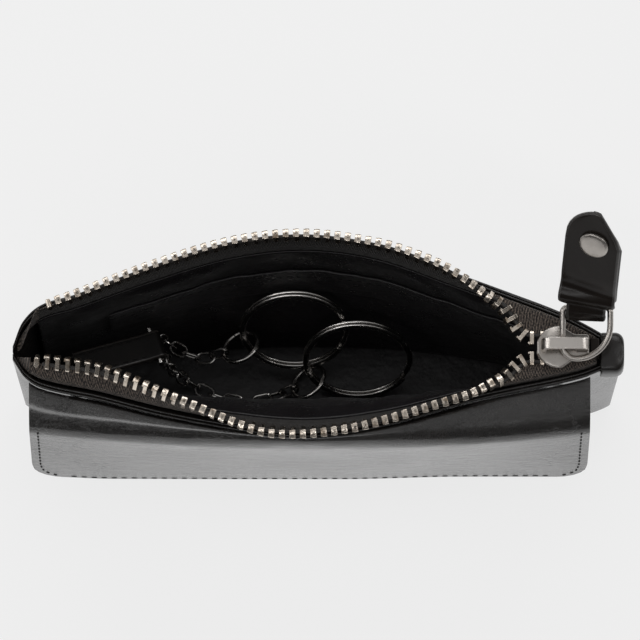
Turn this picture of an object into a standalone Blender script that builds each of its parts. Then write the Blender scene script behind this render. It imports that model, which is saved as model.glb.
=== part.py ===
"""A small leather zip pouch with a front flap, standing open on its base.

Units are metres, +Z is up, +X runs to the end where the zip slider rests, and -Y is the flap side.
The origin is on the flat base. Every sub-part is its own closed solid, and neighbours keep GAP.
"""
import math

import bmesh
import bpy
from mathutils import Matrix, Vector

# Clearance between neighbouring pieces, and how far fused or cut solids pass each other
GAP = 0.0003
SINK = 0.0001

# Pouch body
BODY_WIDTH = 0.150
BASE_NARROWING = 0.003
BASE_WIDTH = BODY_WIDTH - BASE_NARROWING
EDGE_HEIGHT = 0.061
BASE_FRONT_DEPTH = 0.011
BASE_BACK_DEPTH = 0.0145
MOUTH_FRONT_DEPTH = 0.021
MOUTH_BACK_DEPTH = 0.0292
FRONT_FLARE_START = 0.035
LEATHER = 0.0016
LINING = 0.0007
LINING_DROP = 0.0025
LINING_LEFT_GAP = 0.0060
LINING_RIGHT_GAP = 0.0096
FLOOR_END_GAP = 0.0010

# Slip pocket on the back wall
SLIP_POCKET_FROM_END = 0.023
SLIP_POCKET_TOP = 0.044
SLIP_POCKET_BOTTOM = 0.030
SLIP_POCKET_SATIN = 0.0005

# Zip
TAPE = 0.0006
TAPE_TUCK = 0.0062
TAPE_REACH = 0.0070
TAPE_MIN_RISE = 0.0023
TAPE_LEAN_REACH = 0.0025
TAPE_FROM_END = 0.0065
TAPE_TO_TOOTH = 0.00065
TOOTH_PITCH = 0.00254
TOOTH_LENGTH = 0.0030
TOOTH_WIDTH = 0.0013
TOOTH_THICKNESS = 0.0023
CORD_THICKNESS = 0.0012
CORD_WIDTH = 0.0010
FRONT_CHAIN_FROM_END = 0.0045
BACK_CHAIN_FROM_END = 0.0065
CHAIN_PAST_CROWN = 0.0026
CHAIN_CLOSING = 0.0040
STOP_LENGTH = 0.0022

# Slider, its bridge and the pull
SLIDER_FROM_END = 0.0212
SLIDER_LENGTH = 0.0128
SLIDER_CENTRE_Y = 0.0006
CROWN_WIDTH = 0.0104
TAIL_WIDTH = 0.0062
PLATE = 0.0012
CHANNEL_HEIGHT = 0.0030
FLANGE = 0.0009
SLOT_HEIGHT = 0.0013
POST_WIDTH = 0.0010
POST_FROM_CROWN = 0.0008
POST_LENGTH = 0.0032
TAIL_SHIFT = 0.0009
BRIDGE_WIDTH = 0.0030
BRIDGE_CLEARANCE = 0.0038
BRIDGE_THICKNESS = 0.0012
BRIDGE_FROM_CROWN = 0.0010
BRIDGE_FRONT_FOOT = 0.0014
BRIDGE_REAR_FOOT = 0.0030
BRIDGE_ROUND = 0.0018
BRIDGE_INNER_ROUND = 0.0006
RING_WIRE = 0.0015
RING_INNER_WIDTH = 0.0102
RING_INNER_LENGTH = 0.0112
RING_TILT = math.radians(18)
RING_FRONT = 0.0034
RING_FAR_CORNER = 0.0013
RING_FROM_CROWN = 0.0062
RING_LIFT = 0.0011
TAB_LENGTH = 0.0330
TAB_WIDTH = 0.0142
TAB_NECK_WIDTH = 0.0082
TAB_LEATHER = 0.0013
TAB_TILT = math.radians(56)
TAB_SKEW = 0.06
TAB_SHOULDER = 0.0075
TAB_NECK_LENGTH = 0.0040
TAB_POINT = 0.0100
RIVET_DIAMETER = 0.0070
RIVET_HEIGHT = 0.0012
RIVET_BASE_DIAMETER = 0.0063
RIVET_BASE_HEIGHT = 0.0006
RIVET_FROM_TIP = 0.0090

# Flap and its hinge line
FLAP_FROM_LEFT_END = 0.004
FLAP_FROM_RIGHT_END = 0.008
FLAP_LEFT = FLAP_FROM_LEFT_END - BODY_WIDTH / 2
FLAP_RIGHT = BODY_WIDTH / 2 - FLAP_FROM_RIGHT_END
FLAP_FOLD_DROP = 0.0045
FLAP_FOLD_HEIGHT = EDGE_HEIGHT - FLAP_FOLD_DROP
FLAP_FOLD_END_DEPTH = 0.0132
FLAP_FOLD_DEPTH = 0.0223
FLAP_BOTTOM_HEIGHT = 0.0180
FLAP_BOTTOM_DEPTH = 0.0236
FLAP_CORNER = 0.0045
FLAP_LEATHER = 0.0014
FLAP_LINING = 0.0008
FLAP_LINING_TRIM = 0.0012
ROOT_DROP = 0.0014
ROOT_SEAM_DROP = 0.0010
ROOT_MIN_WIDTH = 0.0010

# Pocket under the flap, with its snap
POCKET_FROM_END = 0.013
POCKET_TOP = 0.042
POCKET_BOTTOM = 0.005
POCKET_DEPTH = 0.0178
POCKET_LEATHER = 0.0014
POCKET_CORNER = 0.0050
GUSSET_INSET = 0.0002
SNAP_DIAMETER = 0.014
SNAP_NUB_DIAMETER = 0.005
SNAP_NUB = 0.0006
SNAP_HOLE_CLEARANCE = 0.0005
SNAP_X = -0.002
SNAP_HEIGHT = 0.028
STUD_THICKNESS = 0.0009
SOCKET_THICKNESS = 0.0011

# Leather saddle over the zip's right end
END_TAB_WIDTH = 0.0038
END_TAB_SPAN = 0.0104
END_TAB_DROP = 0.0040
END_TAB_LEATHER = 0.0018
END_TAB_ROUND = 0.0012

# Strap and D-ring inside
STRAP_WIDTH = 0.0070
STRAP_LEATHER = 0.0012
STRAP_NECK = 0.0030
STRAP_TURN_BACK = 0.45
STRAP_START = Vector((-0.0600, 0.0000, 0.0420))
STRAP_END = Vector((-0.0405, 0.0068, 0.0345))
D_RING_WIDTH = 0.0094
D_RING_WIRE = 0.0013
D_RING_SHANK = 0.0015
D_RING_SWEEP = 0.25
HOOK_SPREAD = math.radians(20)

# Rings and chains inside
KEY_RING_DIAMETER = 0.0275
KEY_RING_WIRE_WIDTH = 0.0021
KEY_RING_WIRE = 0.0008
KEY_RING_TURN_GAP = 0.0003
KEY_RING_STEPS = 24
KEY_RING_JOG_STEPS = 4
KEY_RING_LEAN = math.radians(58)
KEY_RING_RISE = KEY_RING_DIAMETER / 2 * math.sin(KEY_RING_LEAN)
KEY_RING_A_LOW = 0.01034
KEY_RING_B_LOW = 0.00434
KEY_RING_A_CENTRE = Vector((-0.0058, 0.0132, KEY_RING_A_LOW + KEY_RING_RISE))
KEY_RING_B_CENTRE = Vector((0.0100, 0.0068, KEY_RING_B_LOW + KEY_RING_RISE))
JUMP_RING_DIAMETER = 0.0106
JUMP_RING_WIRE = 0.0011
JUMP_RING_SLACK = 0.0009
LINK_LENGTH = 0.0056
LINK_WIDTH = 0.0036
LINK_WIRE = 0.0007
LINK_SLACK = 0.0005
JUMP_A_ANGLE = math.radians(205)
JUMP_B_ANGLE = math.radians(214)
CHAIN_A_ROUTE = (Vector((-0.0385, 0.0112, 0.0190)), Vector((-0.0345, 0.0096, 0.0138)),
                 Vector((-0.0310, 0.0082, 0.0124)))
CHAIN_B_ROUTE = (Vector((-0.0365, 0.0040, 0.0160)), Vector((-0.0325, 0.0026, 0.0080)),
                 Vector((-0.0265, -0.0002, 0.0052)), Vector((-0.0184, -0.0021, 0.0048)),
                 Vector((-0.0132, -0.0012, 0.0045)))

# Outlines seen from above: share of the half width, share of the depth
FRONT_MOUTH = ((-1, 0.083), (-0.96, 0.30), (-0.9, 0.43), (-0.72, 0.57), (-0.5, 0.77), (-0.19, 0.965),
               (0, 1.0), (0.23, 0.87), (0.51, 0.58), (0.8, 0.36), (0.89, 0.27), (1, 0.083))
BACK_MOUTH = ((-1, 0.060), (-0.97, 0.26), (-0.91, 0.41), (-0.8, 0.50), (-0.55, 0.73), (-0.29, 0.93),
              (-0.05, 1.0), (0.19, 0.925), (0.44, 0.70), (0.65, 0.50), (0.79, 0.36), (0.89, 0.23), (1, 0.060))
FRONT_CHAIN = ((-1, 0.085), (-0.85, 0.157), (-0.71, 0.25), (-0.46, 0.62), (-0.2, 0.965), (-0.07, 1.01),
               (0.1, 0.95), (0.23, 0.84), (0.37, 0.69), (0.5, 0.53), (0.62, 0.30), (0.70, 0.143))
BACK_CHAIN = ((-1, 0.27), (-0.91, 0.36), (-0.8, 0.452), (-0.55, 0.69), (-0.29, 0.897), (-0.05, 0.966),
              (0.19, 0.89), (0.32, 0.788), (0.44, 0.651), (0.55, 0.471), (0.65, 0.265), (0.70, 0.160))
CHAIN_CONVERGE = 0.70
CONVERGE_SPAN = 0.10

# Colours and finishes
BLACK_LEATHER = ((0.018, 0.017, 0.018), 0.32, 0.0)
BLACK_SATIN = ((0.016, 0.018, 0.026), 0.45, 0.0)
DARK_TAPE = ((0.045, 0.038, 0.034), 0.85, 0.0)
ANTIQUE_NICKEL = ((0.42, 0.37, 0.31), 0.32, 1.0)
SATIN_NICKEL = ((0.55, 0.54, 0.53), 0.28, 1.0)
DARK_STEEL = ((0.20, 0.20, 0.21), 0.22, 1.0)

# Fineness
WALL_STATIONS = 26
WALL_ROWS = 6
CLOSEST_ROWS = 0.001
CLOSEST_COLUMNS = 0.0003
SMALLEST_STATION_SHARE = 0.008


def clear_scene():
    """Remove whatever the scene holds."""
    for item in list(bpy.data.objects):
        bpy.data.objects.remove(item, do_unlink=True)


def material(name, finish):
    """Return a Principled material with the colour, roughness and metallic value of finish."""
    colour, roughness, metallic = finish
    made = bpy.data.materials.new(name)
    made.use_nodes = True
    shader = made.node_tree.nodes["Principled BSDF"]
    shader.inputs["Base Color"].default_value = (*colour, 1.0)
    shader.inputs["Roughness"].default_value = roughness
    shader.inputs["Metallic"].default_value = metallic
    made.diffuse_color = (*colour, 1.0)
    return made


def add_object(name, bm, finish, smooth_angle=40):
    """Turn a bmesh into a named object with outward faces and its own material."""
    bmesh.ops.recalc_face_normals(bm, faces=bm.faces)
    mesh = bpy.data.meshes.new(name)
    bm.to_mesh(mesh)
    bm.free()
    mesh.materials.append(material(name, finish))
    mesh.shade_smooth()
    mesh.set_sharp_from_angle(angle=math.radians(smooth_angle))
    made = bpy.data.objects.new(name, mesh)
    bpy.context.collection.objects.link(made)
    return made


def pivot(name, location):
    """Return an empty that marks a joint's axis."""
    made = bpy.data.objects.new(name, None)
    made.location = location
    made.empty_display_size = 0.01
    bpy.context.collection.objects.link(made)
    return made


def attach(child, parent):
    """Parent without moving the child."""
    child.parent = parent
    child.matrix_parent_inverse = Matrix.Translation(parent.location).inverted()


def smooth_curve(knots, at):
    """Return the height at a place on a smooth curve through knots."""
    if at <= knots[0][0]:
        return knots[0][1]
    if at >= knots[-1][0]:
        return knots[-1][1]
    index = max(i for i in range(len(knots) - 1) if knots[i][0] <= at)

    def slope(i):
        low = max(i - 1, 0)
        high = min(i + 1, len(knots) - 1)
        return (knots[high][1] - knots[low][1]) / (knots[high][0] - knots[low][0])

    (x0, y0), (x1, y1) = knots[index], knots[index + 1]
    span = x1 - x0
    t = (at - x0) / span
    start = y0 * (2 * t ** 3 - 3 * t ** 2 + 1) + slope(index) * span * (t ** 3 - 2 * t ** 2 + t)
    return start + y1 * (3 * t ** 2 - 2 * t ** 3) + slope(index + 1) * span * (t ** 3 - t ** 2)


def ease(t):
    """Return a smooth step from 0 to 1."""
    t = min(max(t, 0.0), 1.0)
    return t * t * (3 - 2 * t)


def grid_solid(outer, inner):
    """Return a bmesh of one closed sheet between two grids of points of the same size."""
    bm = bmesh.new()
    sides = [[[bm.verts.new(point) for point in row] for row in grid] for grid in (outer, inner)]
    rows = len(outer)
    columns = len(outer[0])
    for grid, turn in zip(sides, (False, True)):
        for r in range(rows - 1):
            for c in range(columns - 1):
                corner = [grid[r][c], grid[r][c + 1], grid[r + 1][c + 1], grid[r + 1][c]]
                bm.faces.new(corner[::-1] if turn else corner)
    rim = [(0, c) for c in range(columns)]
    rim += [(r, columns - 1) for r in range(1, rows)]
    rim += [(rows - 1, c) for c in range(columns - 2, -1, -1)]
    rim += [(r, 0) for r in range(rows - 2, 0, -1)]
    top, under = sides
    for (r0, c0), (r1, c1) in zip(rim, rim[1:] + rim[:1]):
        bm.faces.new([top[r0][c0], under[r0][c0], under[r1][c1], top[r1][c1]])
    return bm


def loft(loops, closed=False):
    """Return a bmesh of one tube through loops of points, capped unless it closes on itself."""
    bm = bmesh.new()
    rings = [[bm.verts.new(point) for point in loop] for loop in loops]
    count = len(loops[0])
    pairs = list(zip(rings, rings[1:]))
    if closed:
        pairs.append((rings[-1], rings[0]))
    for low, high in pairs:
        for i in range(count):
            j = (i + 1) % count
            bm.faces.new([low[i], low[j], high[j], high[i]])
    if not closed:
        bm.faces.new(rings[0][::-1])
        bm.faces.new(rings[-1])
    return bm


def flat_wire_ring(points, normal, radius, sides):
    """Return a bmesh of a closed ring of round wire that lies in the plane with this normal."""
    count = len(points)
    loops = []
    for i, point in enumerate(points):
        along = (points[(i + 1) % count] - points[i - 1]).normalized()
        out = along.cross(normal).normalized()
        turns = [2 * math.pi * (k + 0.5) / sides for k in range(sides)]
        loops.append([point + radius * (math.cos(a) * out + math.sin(a) * normal) for a in turns])
    return loft(loops, True)


def prism(outline, height):
    """Return a bmesh of a flat outline of (x, y) points, raised along +Z from z = 0."""
    bottom = [Vector((x, y, 0)) for x, y in outline]
    top = [point + Vector((0, 0, height)) for point in bottom]
    return loft([bottom, top])


def turned(profile, steps=16):
    """Return a bmesh turned about Z from (radius, height) points that start and end on the axis."""
    bm = bmesh.new()
    first = bm.verts.new((0, 0, profile[0][1]))
    last = bm.verts.new((0, 0, profile[-1][1]))
    rings = []
    for radius, height in profile[1:-1]:
        turns = [2 * math.pi * k / steps for k in range(steps)]
        rings.append([bm.verts.new((radius * math.cos(a), radius * math.sin(a), height)) for a in turns])
    for i in range(steps):
        j = (i + 1) % steps
        bm.faces.new([first, rings[0][j], rings[0][i]])
        bm.faces.new([last, rings[-1][i], rings[-1][j]])
        for low, high in zip(rings, rings[1:]):
            bm.faces.new([low[i], low[j], high[j], high[i]])
    return bm


def placement(origin, x_axis, z_axis):
    """Return the matrix of a frame from its origin and two directions."""
    z_axis = z_axis.normalized()
    y_axis = z_axis.cross(x_axis).normalized()
    x_axis = y_axis.cross(z_axis)
    matrix = Matrix((x_axis, y_axis, z_axis)).transposed().to_4x4()
    matrix.translation = origin
    return matrix


def moved(bm, matrix):
    """Move a bmesh by a matrix."""
    bmesh.ops.transform(bm, matrix=matrix, verts=bm.verts)
    return bm


def joined(name, solids, finish, operation="UNION"):
    """Return one object made of several overlapping solids with exact Booleans."""
    base = add_object(name, solids[0], finish)
    for i, solid in enumerate(solids[1:]):
        tool = add_object(f"{name}_tool_{i}", solid, finish)
        cut = base.modifiers.new("join", "BOOLEAN")
        cut.operation = operation
        cut.solver = "EXACT"
        cut.object = tool
        with bpy.context.temp_override(object=base, active_object=base):
            bpy.ops.object.modifier_apply(modifier=cut.name)
        bpy.data.objects.remove(tool, do_unlink=True)
    return base


# The pouch walls

SEAM_DEPTH = LEATHER + GAP / 2
FLOOR_TOP = LEATHER + GAP + LINING
LINING_BOTTOM = FLOOR_TOP + GAP
LINING_TOP = EDGE_HEIGHT - LINING_DROP
TAPE_INSET = LEATHER + GAP + TAPE / 2
LINING_INSET = LEATHER + GAP + TAPE + GAP
INNER_FACE = LINING_INSET + LINING


def stations(low, high):
    """Return shares of the half width, closer together towards the pouch's ends."""
    places = []
    for i in range(WALL_STATIONS + 1):
        even = -1 + 2 * i / WALL_STATIONS
        places.append(0.5 * even + 0.5 * math.sin(math.pi / 2 * even))
    return [low] + [p for p in places if low + SMALLEST_STATION_SHARE < p < high - SMALLEST_STATION_SHARE] + [high]


def half_width(height):
    """Return half of the pouch's width at a height."""
    return (BASE_WIDTH + (BODY_WIDTH - BASE_WIDTH) * height / EDGE_HEIGHT) / 2


def wall_depth(u, height, side):
    """Return how far the outer leather face stands from the middle plane; side is -1 in front."""
    base = BASE_FRONT_DEPTH if side < 0 else BASE_BACK_DEPTH
    base = SEAM_DEPTH + (base - SEAM_DEPTH) * max(1 - abs(u) ** 2.4, 0) ** 0.75
    if side < 0:
        mouth = MOUTH_FRONT_DEPTH * smooth_curve(FRONT_MOUTH, u)
    else:
        mouth = MOUTH_BACK_DEPTH * smooth_curve(BACK_MOUTH, u)
    return max(base + (mouth - base) * flare(height, side), SEAM_DEPTH)


def flare(height, side):
    """Return how far the wall has opened from base to mouth; it is straight between WALL_HEIGHTS."""
    step = EDGE_HEIGHT / WALL_ROWS
    row = min(max(int(height / step), 0), WALL_ROWS - 1)
    part = min(height / step - row, 1)
    low, high = (opening(i * step, side) for i in (row, row + 1))
    return low + (high - low) * part


def opening(height, side):
    """Return the smooth share of the opening at a height."""
    if side < 0:
        return max((height - FRONT_FLARE_START) / (EDGE_HEIGHT - FRONT_FLARE_START), 0) ** 2
    return 1 - (1 - min(height / EDGE_HEIGHT, 1)) ** 2.2


def wall_point(u, height, side, inset):
    """Return a point inset from the outer leather face."""
    return Vector((u * half_width(height), side * (wall_depth(u, height, side) - inset), height))


def wall_sheet(name, side, span, heights, inset, thickness, finish):
    """Add one layer of a wall between two shares of the half width."""
    places = stations(*span)
    outer = [[wall_point(u, z, side, inset) for u in places] for z in heights]
    inner = [[wall_point(u, z, side, inset + thickness) for u in places] for z in heights]
    return add_object(name, grid_solid(outer, inner), finish)


def spread(low, high, count):
    """Return count + 1 even steps from low to high."""
    return [low + (high - low) * i / count for i in range(count + 1)]


def wall_heights(low, high):
    """Return the heights of a sheet's rows: its edges and the shared heights between them."""
    shared = spread(0, EDGE_HEIGHT, WALL_ROWS)
    return [low] + [z for z in shared if low + CLOSEST_ROWS < z < high - CLOSEST_ROWS] + [high]


def floor_sheet(name, bottom, thickness, inset, span, finish):
    """Add a flat sheet between the two walls, seen as a lens from above."""
    places = stations(*span)

    def layer(height):
        front = [wall_point(u, 0, -1, inset) for u in places]
        back = [wall_point(u, 0, 1, inset) for u in places]
        return [[Vector((p.x, p.y, height)) for p in edge] for edge in (front, back)]

    return add_object(name, grid_solid(layer(bottom + thickness), layer(bottom)), finish)


def end_share(distance):
    """Return the share of the half width that lies a distance short of the pouch's end."""
    return 1 - distance / (BODY_WIDTH / 2)


def add_body():
    """Add the leather walls and base, the lining and the slip pocket."""
    leather_rows = wall_heights(0, EDGE_HEIGHT)
    lining_rows = wall_heights(LINING_BOTTOM, LINING_TOP)
    lining_span = (-end_share(LINING_LEFT_GAP), end_share(LINING_RIGHT_GAP))
    floor_span = (-end_share(FLOOR_END_GAP), end_share(FLOOR_END_GAP))
    for label, side in (("back", 1), ("front", -1)):
        wall_sheet(f"{label}_panel", side, (-1, 1), leather_rows, 0, LEATHER, BLACK_LEATHER)
        wall_sheet(f"lining_{label}", side, lining_span, lining_rows, LINING_INSET, LINING, BLACK_SATIN)
    floor_sheet("bottom_panel", 0, LEATHER, LEATHER + GAP, floor_span, BLACK_LEATHER)
    floor_sheet("lining_floor", LEATHER + GAP, LINING, LEATHER + GAP, floor_span, BLACK_SATIN)
    slip_share = end_share(SLIP_POCKET_FROM_END)
    slip_rows = wall_heights(SLIP_POCKET_BOTTOM, SLIP_POCKET_TOP)
    wall_sheet("slip_pocket", 1, (-slip_share, slip_share), slip_rows, INNER_FACE + GAP,
               SLIP_POCKET_SATIN, BLACK_SATIN)


# The zip

SLIDER_LEFT = BODY_WIDTH / 2 - SLIDER_FROM_END
SLIDER_RIGHT = SLIDER_LEFT + SLIDER_LENGTH
CHAIN_RIGHT = SLIDER_LEFT + CHAIN_PAST_CROWN
CHAIN_SIDE_SHIFT = POST_WIDTH / 2 + GAP + TOOTH_LENGTH / 2


def chain_depth(x, side):
    """Return the y of a tooth row's middle line."""
    u = x / (BODY_WIDTH / 2)
    knots = FRONT_CHAIN if side < 0 else BACK_CHAIN
    mouth = MOUTH_FRONT_DEPTH if side < 0 else MOUTH_BACK_DEPTH
    open_y = side * mouth * smooth_curve(knots, u)
    tail = ease((x - CHAIN_RIGHT) / CHAIN_CLOSING)
    held_y = SLIDER_CENTRE_Y + side * (CHAIN_SIDE_SHIFT + (TAIL_SHIFT - CHAIN_SIDE_SHIFT) * tail)
    hold = ease((u - CHAIN_CONVERGE) / CONVERGE_SPAN + 1)
    return open_y + (held_y - open_y) * hold


def tape_path(x, side):
    """Return the middle line of the tape's section at x: tuck, leather edge, lift and tooth row."""
    u = x / (BODY_WIDTH / 2)
    low = EDGE_HEIGHT - TAPE_TUCK
    edge = EDGE_HEIGHT - GAP
    start = Vector((x, side * (wall_depth(u, low, side) - TAPE_INSET), low))
    at_edge = Vector((x, side * (wall_depth(u, edge, side) - TAPE_INSET), edge))
    chain_y = chain_depth(x, side)
    rise = zip_rise(u)
    chain = Vector((x, chain_y, EDGE_HEIGHT + rise))
    lean = min(abs(chain_y - at_edge.y) / TAPE_LEAN_REACH, 1)
    lift = at_edge + Vector((0, 0, TAPE_MIN_RISE * lean + GAP))
    out = (chain - lift).normalized()
    return start, at_edge, lift, chain, out


def zip_rise(u):
    """Return how high the tooth row stands over the leather: flat at the slider, upright in the middle."""
    stand = (0.45 + 0.55 * ease((u + 1) / 0.5)) * ease((0.68 - u) / 0.30)
    return TAPE_MIN_RISE + (TAPE_REACH - TAPE_MIN_RISE) * stand


def slant(x, side, out):
    """Return how much further a slanting tooth row reaches, measured square to the pouch's length."""
    before = tape_path(x - TAPE, side)[3]
    after = tape_path(x + TAPE, side)[3]
    along = (after - before).normalized()
    return 1 / math.sqrt(1 - out.dot(along) ** 2)


def tape_sheet(name, side, left):
    """Add one tape, sewn between leather and lining and bent over to its tooth row."""
    outer = []
    inner = []
    right = end_share(TAPE_FROM_END)
    places = [u for u in stations(-1, 1) if left / (BODY_WIDTH / 2) < u < right] + [right]
    places += [(a + b) / 2 for a, b in zip(places, places[1:]) if a > 0.4]
    for u in sorted(places):
        x = u * BODY_WIDTH / 2
        start, at_edge, lift, chain, out = tape_path(x, side)
        end = chain - out * (TOOTH_LENGTH / 2 + TAPE_TO_TOOTH) * slant(x, side, out)
        path = [start, at_edge, lift, end]
        layers = ([], [])
        for i, point in enumerate(path):
            before = (path[i] - path[i - 1]).normalized() if i else None
            after = (path[i + 1] - path[i]).normalized() if i < len(path) - 1 else None
            along = ((before or after) + (after or before)).normalized()
            normal = Vector((0, -along.z, along.y)) * side
            stretch = TAPE / 2 / max(along.dot(before or after), 0.5)
            layers[0].append(point - normal * stretch)
            layers[1].append(point + normal * stretch)
        outer.append(layers[0])
        inner.append(layers[1])
    return add_object(name, grid_solid(outer, inner), DARK_TAPE)


def chain_frames(side, left, right):
    """Return (distance, point, along, out) frames at even steps of a tooth row."""
    steps = 240
    xs = spread(left, right, steps)
    points = [tape_path(x, side)[3] for x in xs]
    outs = [tape_path(x, side)[4] for x in xs]
    frames = []
    distance = 0.0
    for i, point in enumerate(points):
        if i:
            distance += (point - points[i - 1]).length
        along = (points[min(i + 1, steps)] - points[max(i - 1, 0)]).normalized()
        out = (outs[i] - along * outs[i].dot(along)).normalized()
        frames.append((distance, point, along, out))
    return frames


def frame_at(frames, distance):
    """Return the frame nearest a distance, moved to that distance."""
    near = min(frames, key=lambda f: abs(f[0] - distance))
    return near[1] + near[2] * (distance - near[0]), near[2], near[3]


def section(frames, distance, reach_back, reach_out, thickness):
    """Return a four-cornered loop across a tooth row."""
    point, along, out = frame_at(frames, distance)
    up = along.cross(out)
    corners = ((-reach_back, -1), (reach_out, -1), (reach_out, 1), (-reach_back, 1))
    return [point + out * a + up * (b * thickness / 2) for a, b in corners]


def tooth_row(name, side, left):
    """Add a cord with its metal teeth as one body; return its frames and where the teeth end."""
    frames = chain_frames(side, left, CHAIN_RIGHT)
    total = frames[-1][0]
    count = int((total - STOP_LENGTH - GAP) / TOOTH_PITCH)
    first = total - (count - 0.5) * TOOTH_PITCH
    cord_back = TOOTH_LENGTH / 2
    cord_out = CORD_WIDTH - TOOTH_LENGTH / 2
    loops = [section(frames, first - TOOTH_PITCH / 2, cord_back, cord_out, CORD_THICKNESS)]
    for i in range(count):
        middle = first + i * TOOTH_PITCH
        for end, order in ((middle - TOOTH_WIDTH / 2, 1), (middle + TOOTH_WIDTH / 2, -1)):
            cord = section(frames, end, cord_back, cord_out, CORD_THICKNESS)
            tooth = section(frames, end, TOOTH_LENGTH / 2 + GAP / 3, TOOTH_LENGTH / 2, TOOTH_THICKNESS)
            loops += [cord, tooth][::order]
    loops.append(section(frames, total, cord_back, cord_out, CORD_THICKNESS))
    add_object(name, loft(loops), ANTIQUE_NICKEL)
    return frames, first - TOOTH_PITCH / 2


def top_stop(name, frames, end):
    """Add the metal stop at the open end of a tooth row."""
    start = end - GAP - STOP_LENGTH
    loops = []
    for distance in (start, end - GAP):
        loops.append(section(frames, max(distance, 0), TOOTH_LENGTH / 2, TOOTH_LENGTH / 4, TOOTH_THICKNESS))
    return add_object(name, loft(loops), ANTIQUE_NICKEL)


def add_zip():
    """Add the tapes, the tooth rows and the stops."""
    for label, side, from_end in (("back", 1, BACK_CHAIN_FROM_END), ("front", -1, FRONT_CHAIN_FROM_END)):
        left = from_end - BODY_WIDTH / 2
        tape_sheet(f"zip_tape_{label}", side, left)
        frames, end = tooth_row(f"zip_chain_{label}", side, left)
        top_stop(f"zip_top_stop_{label}", frames, end)
    bottom_stop()


ZIP_HEIGHT = EDGE_HEIGHT + TAPE_MIN_RISE


def bottom_stop():
    """Add the metal stop across both tapes behind the slider."""
    half_span = TAIL_SHIFT + TOOTH_LENGTH / 2
    outline = [(-STOP_LENGTH / 2, -half_span), (STOP_LENGTH / 2, -half_span),
               (STOP_LENGTH / 2, half_span), (-STOP_LENGTH / 2, half_span)]
    bm = prism(outline, TOOTH_THICKNESS)
    place = Vector((SLIDER_RIGHT + GAP + STOP_LENGTH / 2, SLIDER_CENTRE_Y, ZIP_HEIGHT - TOOTH_THICKNESS / 2))
    return add_object("zip_bottom_stop", moved(bm, Matrix.Translation(place)), ANTIQUE_NICKEL)


def add_end_tab():
    """Add the leather saddle folded over the right end of the pouch."""
    half = END_TAB_SPAN / 2
    seat = EDGE_HEIGHT + GAP
    top = seat + END_TAB_LEATHER
    low = EDGE_HEIGHT - END_TAB_DROP
    right = BODY_WIDTH / 2 + GAP
    outer = []
    inner = []
    for x in (right - END_TAB_WIDTH, right):
        u = min(x / (BODY_WIDTH / 2), 1)
        outer.append([Vector((x, y, z)) for y, z in
                      ((-half, low), (-half, top - END_TAB_ROUND), (-half + END_TAB_ROUND, top),
                       (half - END_TAB_ROUND, top), (half, top - END_TAB_ROUND), (half, low))])
        front = -wall_depth(u, EDGE_HEIGHT, -1) - GAP
        back = wall_depth(u, EDGE_HEIGHT, 1) + GAP
        inner.append([Vector((x, y, z)) for y, z in
                      ((front, low), (front, seat), (front + SINK, seat),
                       (back - SINK, seat), (back, seat), (back, low))])
    add_object("zip_end_tab", grid_solid(outer, inner), BLACK_LEATHER)


# The slider and its pull

PLATE_TOP = ZIP_HEIGHT + CHANNEL_HEIGHT / 2 + PLATE
RING_RADIUS = RING_WIRE / 2
PULL_PIVOT = Vector((SLIDER_LEFT + RING_FROM_CROWN, SLIDER_CENTRE_Y, PLATE_TOP + GAP + RING_RADIUS + RING_LIFT))


def slider_half(t):
    """Return half of the slider's width at a share of its length from the crown."""
    return (CROWN_WIDTH + (TAIL_WIDTH - CROWN_WIDTH) * ease((t - 0.15) / 0.6)) / 2


def slider_outline():
    """Return the slider's outline from above, rounded at the crown and at the tail."""
    shares = (0.0, 0.04, 0.12, 0.25, 0.4, 0.55, 0.7, 0.85, 0.96, 1.0)
    rounding = {0.0: 0.72, 0.04: 0.93, 0.96: 0.97, 1.0: 0.85}
    right_side = [(t * SLIDER_LENGTH, slider_half(t) * rounding.get(t, 1.0)) for t in shares]
    return [(x, -y) for x, y in right_side] + right_side[::-1]


def flange(side, height):
    """Return a rim along one side of a slider plate."""
    shares = (0.06, 0.2, 0.35, 0.5, 0.65, 0.8, 0.95)
    edge = [(t * SLIDER_LENGTH, side * (slider_half(t) - SINK)) for t in shares]
    back = [(x, y - side * FLANGE) for x, y in edge]
    return prism(edge + back[::-1], height)


def add_slider():
    """Add the slider body, a pair of plates joined by a post, and the bridge on top."""
    origin = Vector((SLIDER_LEFT, SLIDER_CENTRE_Y, ZIP_HEIGHT))
    rim = (CHANNEL_HEIGHT - SLOT_HEIGHT) / 2 + SINK
    low = -CHANNEL_HEIGHT / 2 - PLATE
    middle = POST_FROM_CROWN + POST_LENGTH * 0.44
    post = [(POST_FROM_CROWN, 0), (middle, -POST_WIDTH / 2), (POST_FROM_CROWN + POST_LENGTH, 0),
            (middle, POST_WIDTH / 2)]
    solids = [
        (prism(slider_outline(), PLATE), CHANNEL_HEIGHT / 2),
        (prism(post, CHANNEL_HEIGHT + 2 * SINK), -CHANNEL_HEIGHT / 2 - SINK),
        (prism(slider_outline(), PLATE), low),
    ]
    for side in (-1, 1):
        solids.append((flange(side, rim), CHANNEL_HEIGHT / 2 + SINK - rim))
        solids.append((flange(side, rim), -CHANNEL_HEIGHT / 2 - SINK))
    bodies = [moved(bm, Matrix.Translation(origin + Vector((0, 0, z)))) for bm, z in solids]
    body = joined("slider_body", bodies, SATIN_NICKEL)
    return [body, add_bridge()]


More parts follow.
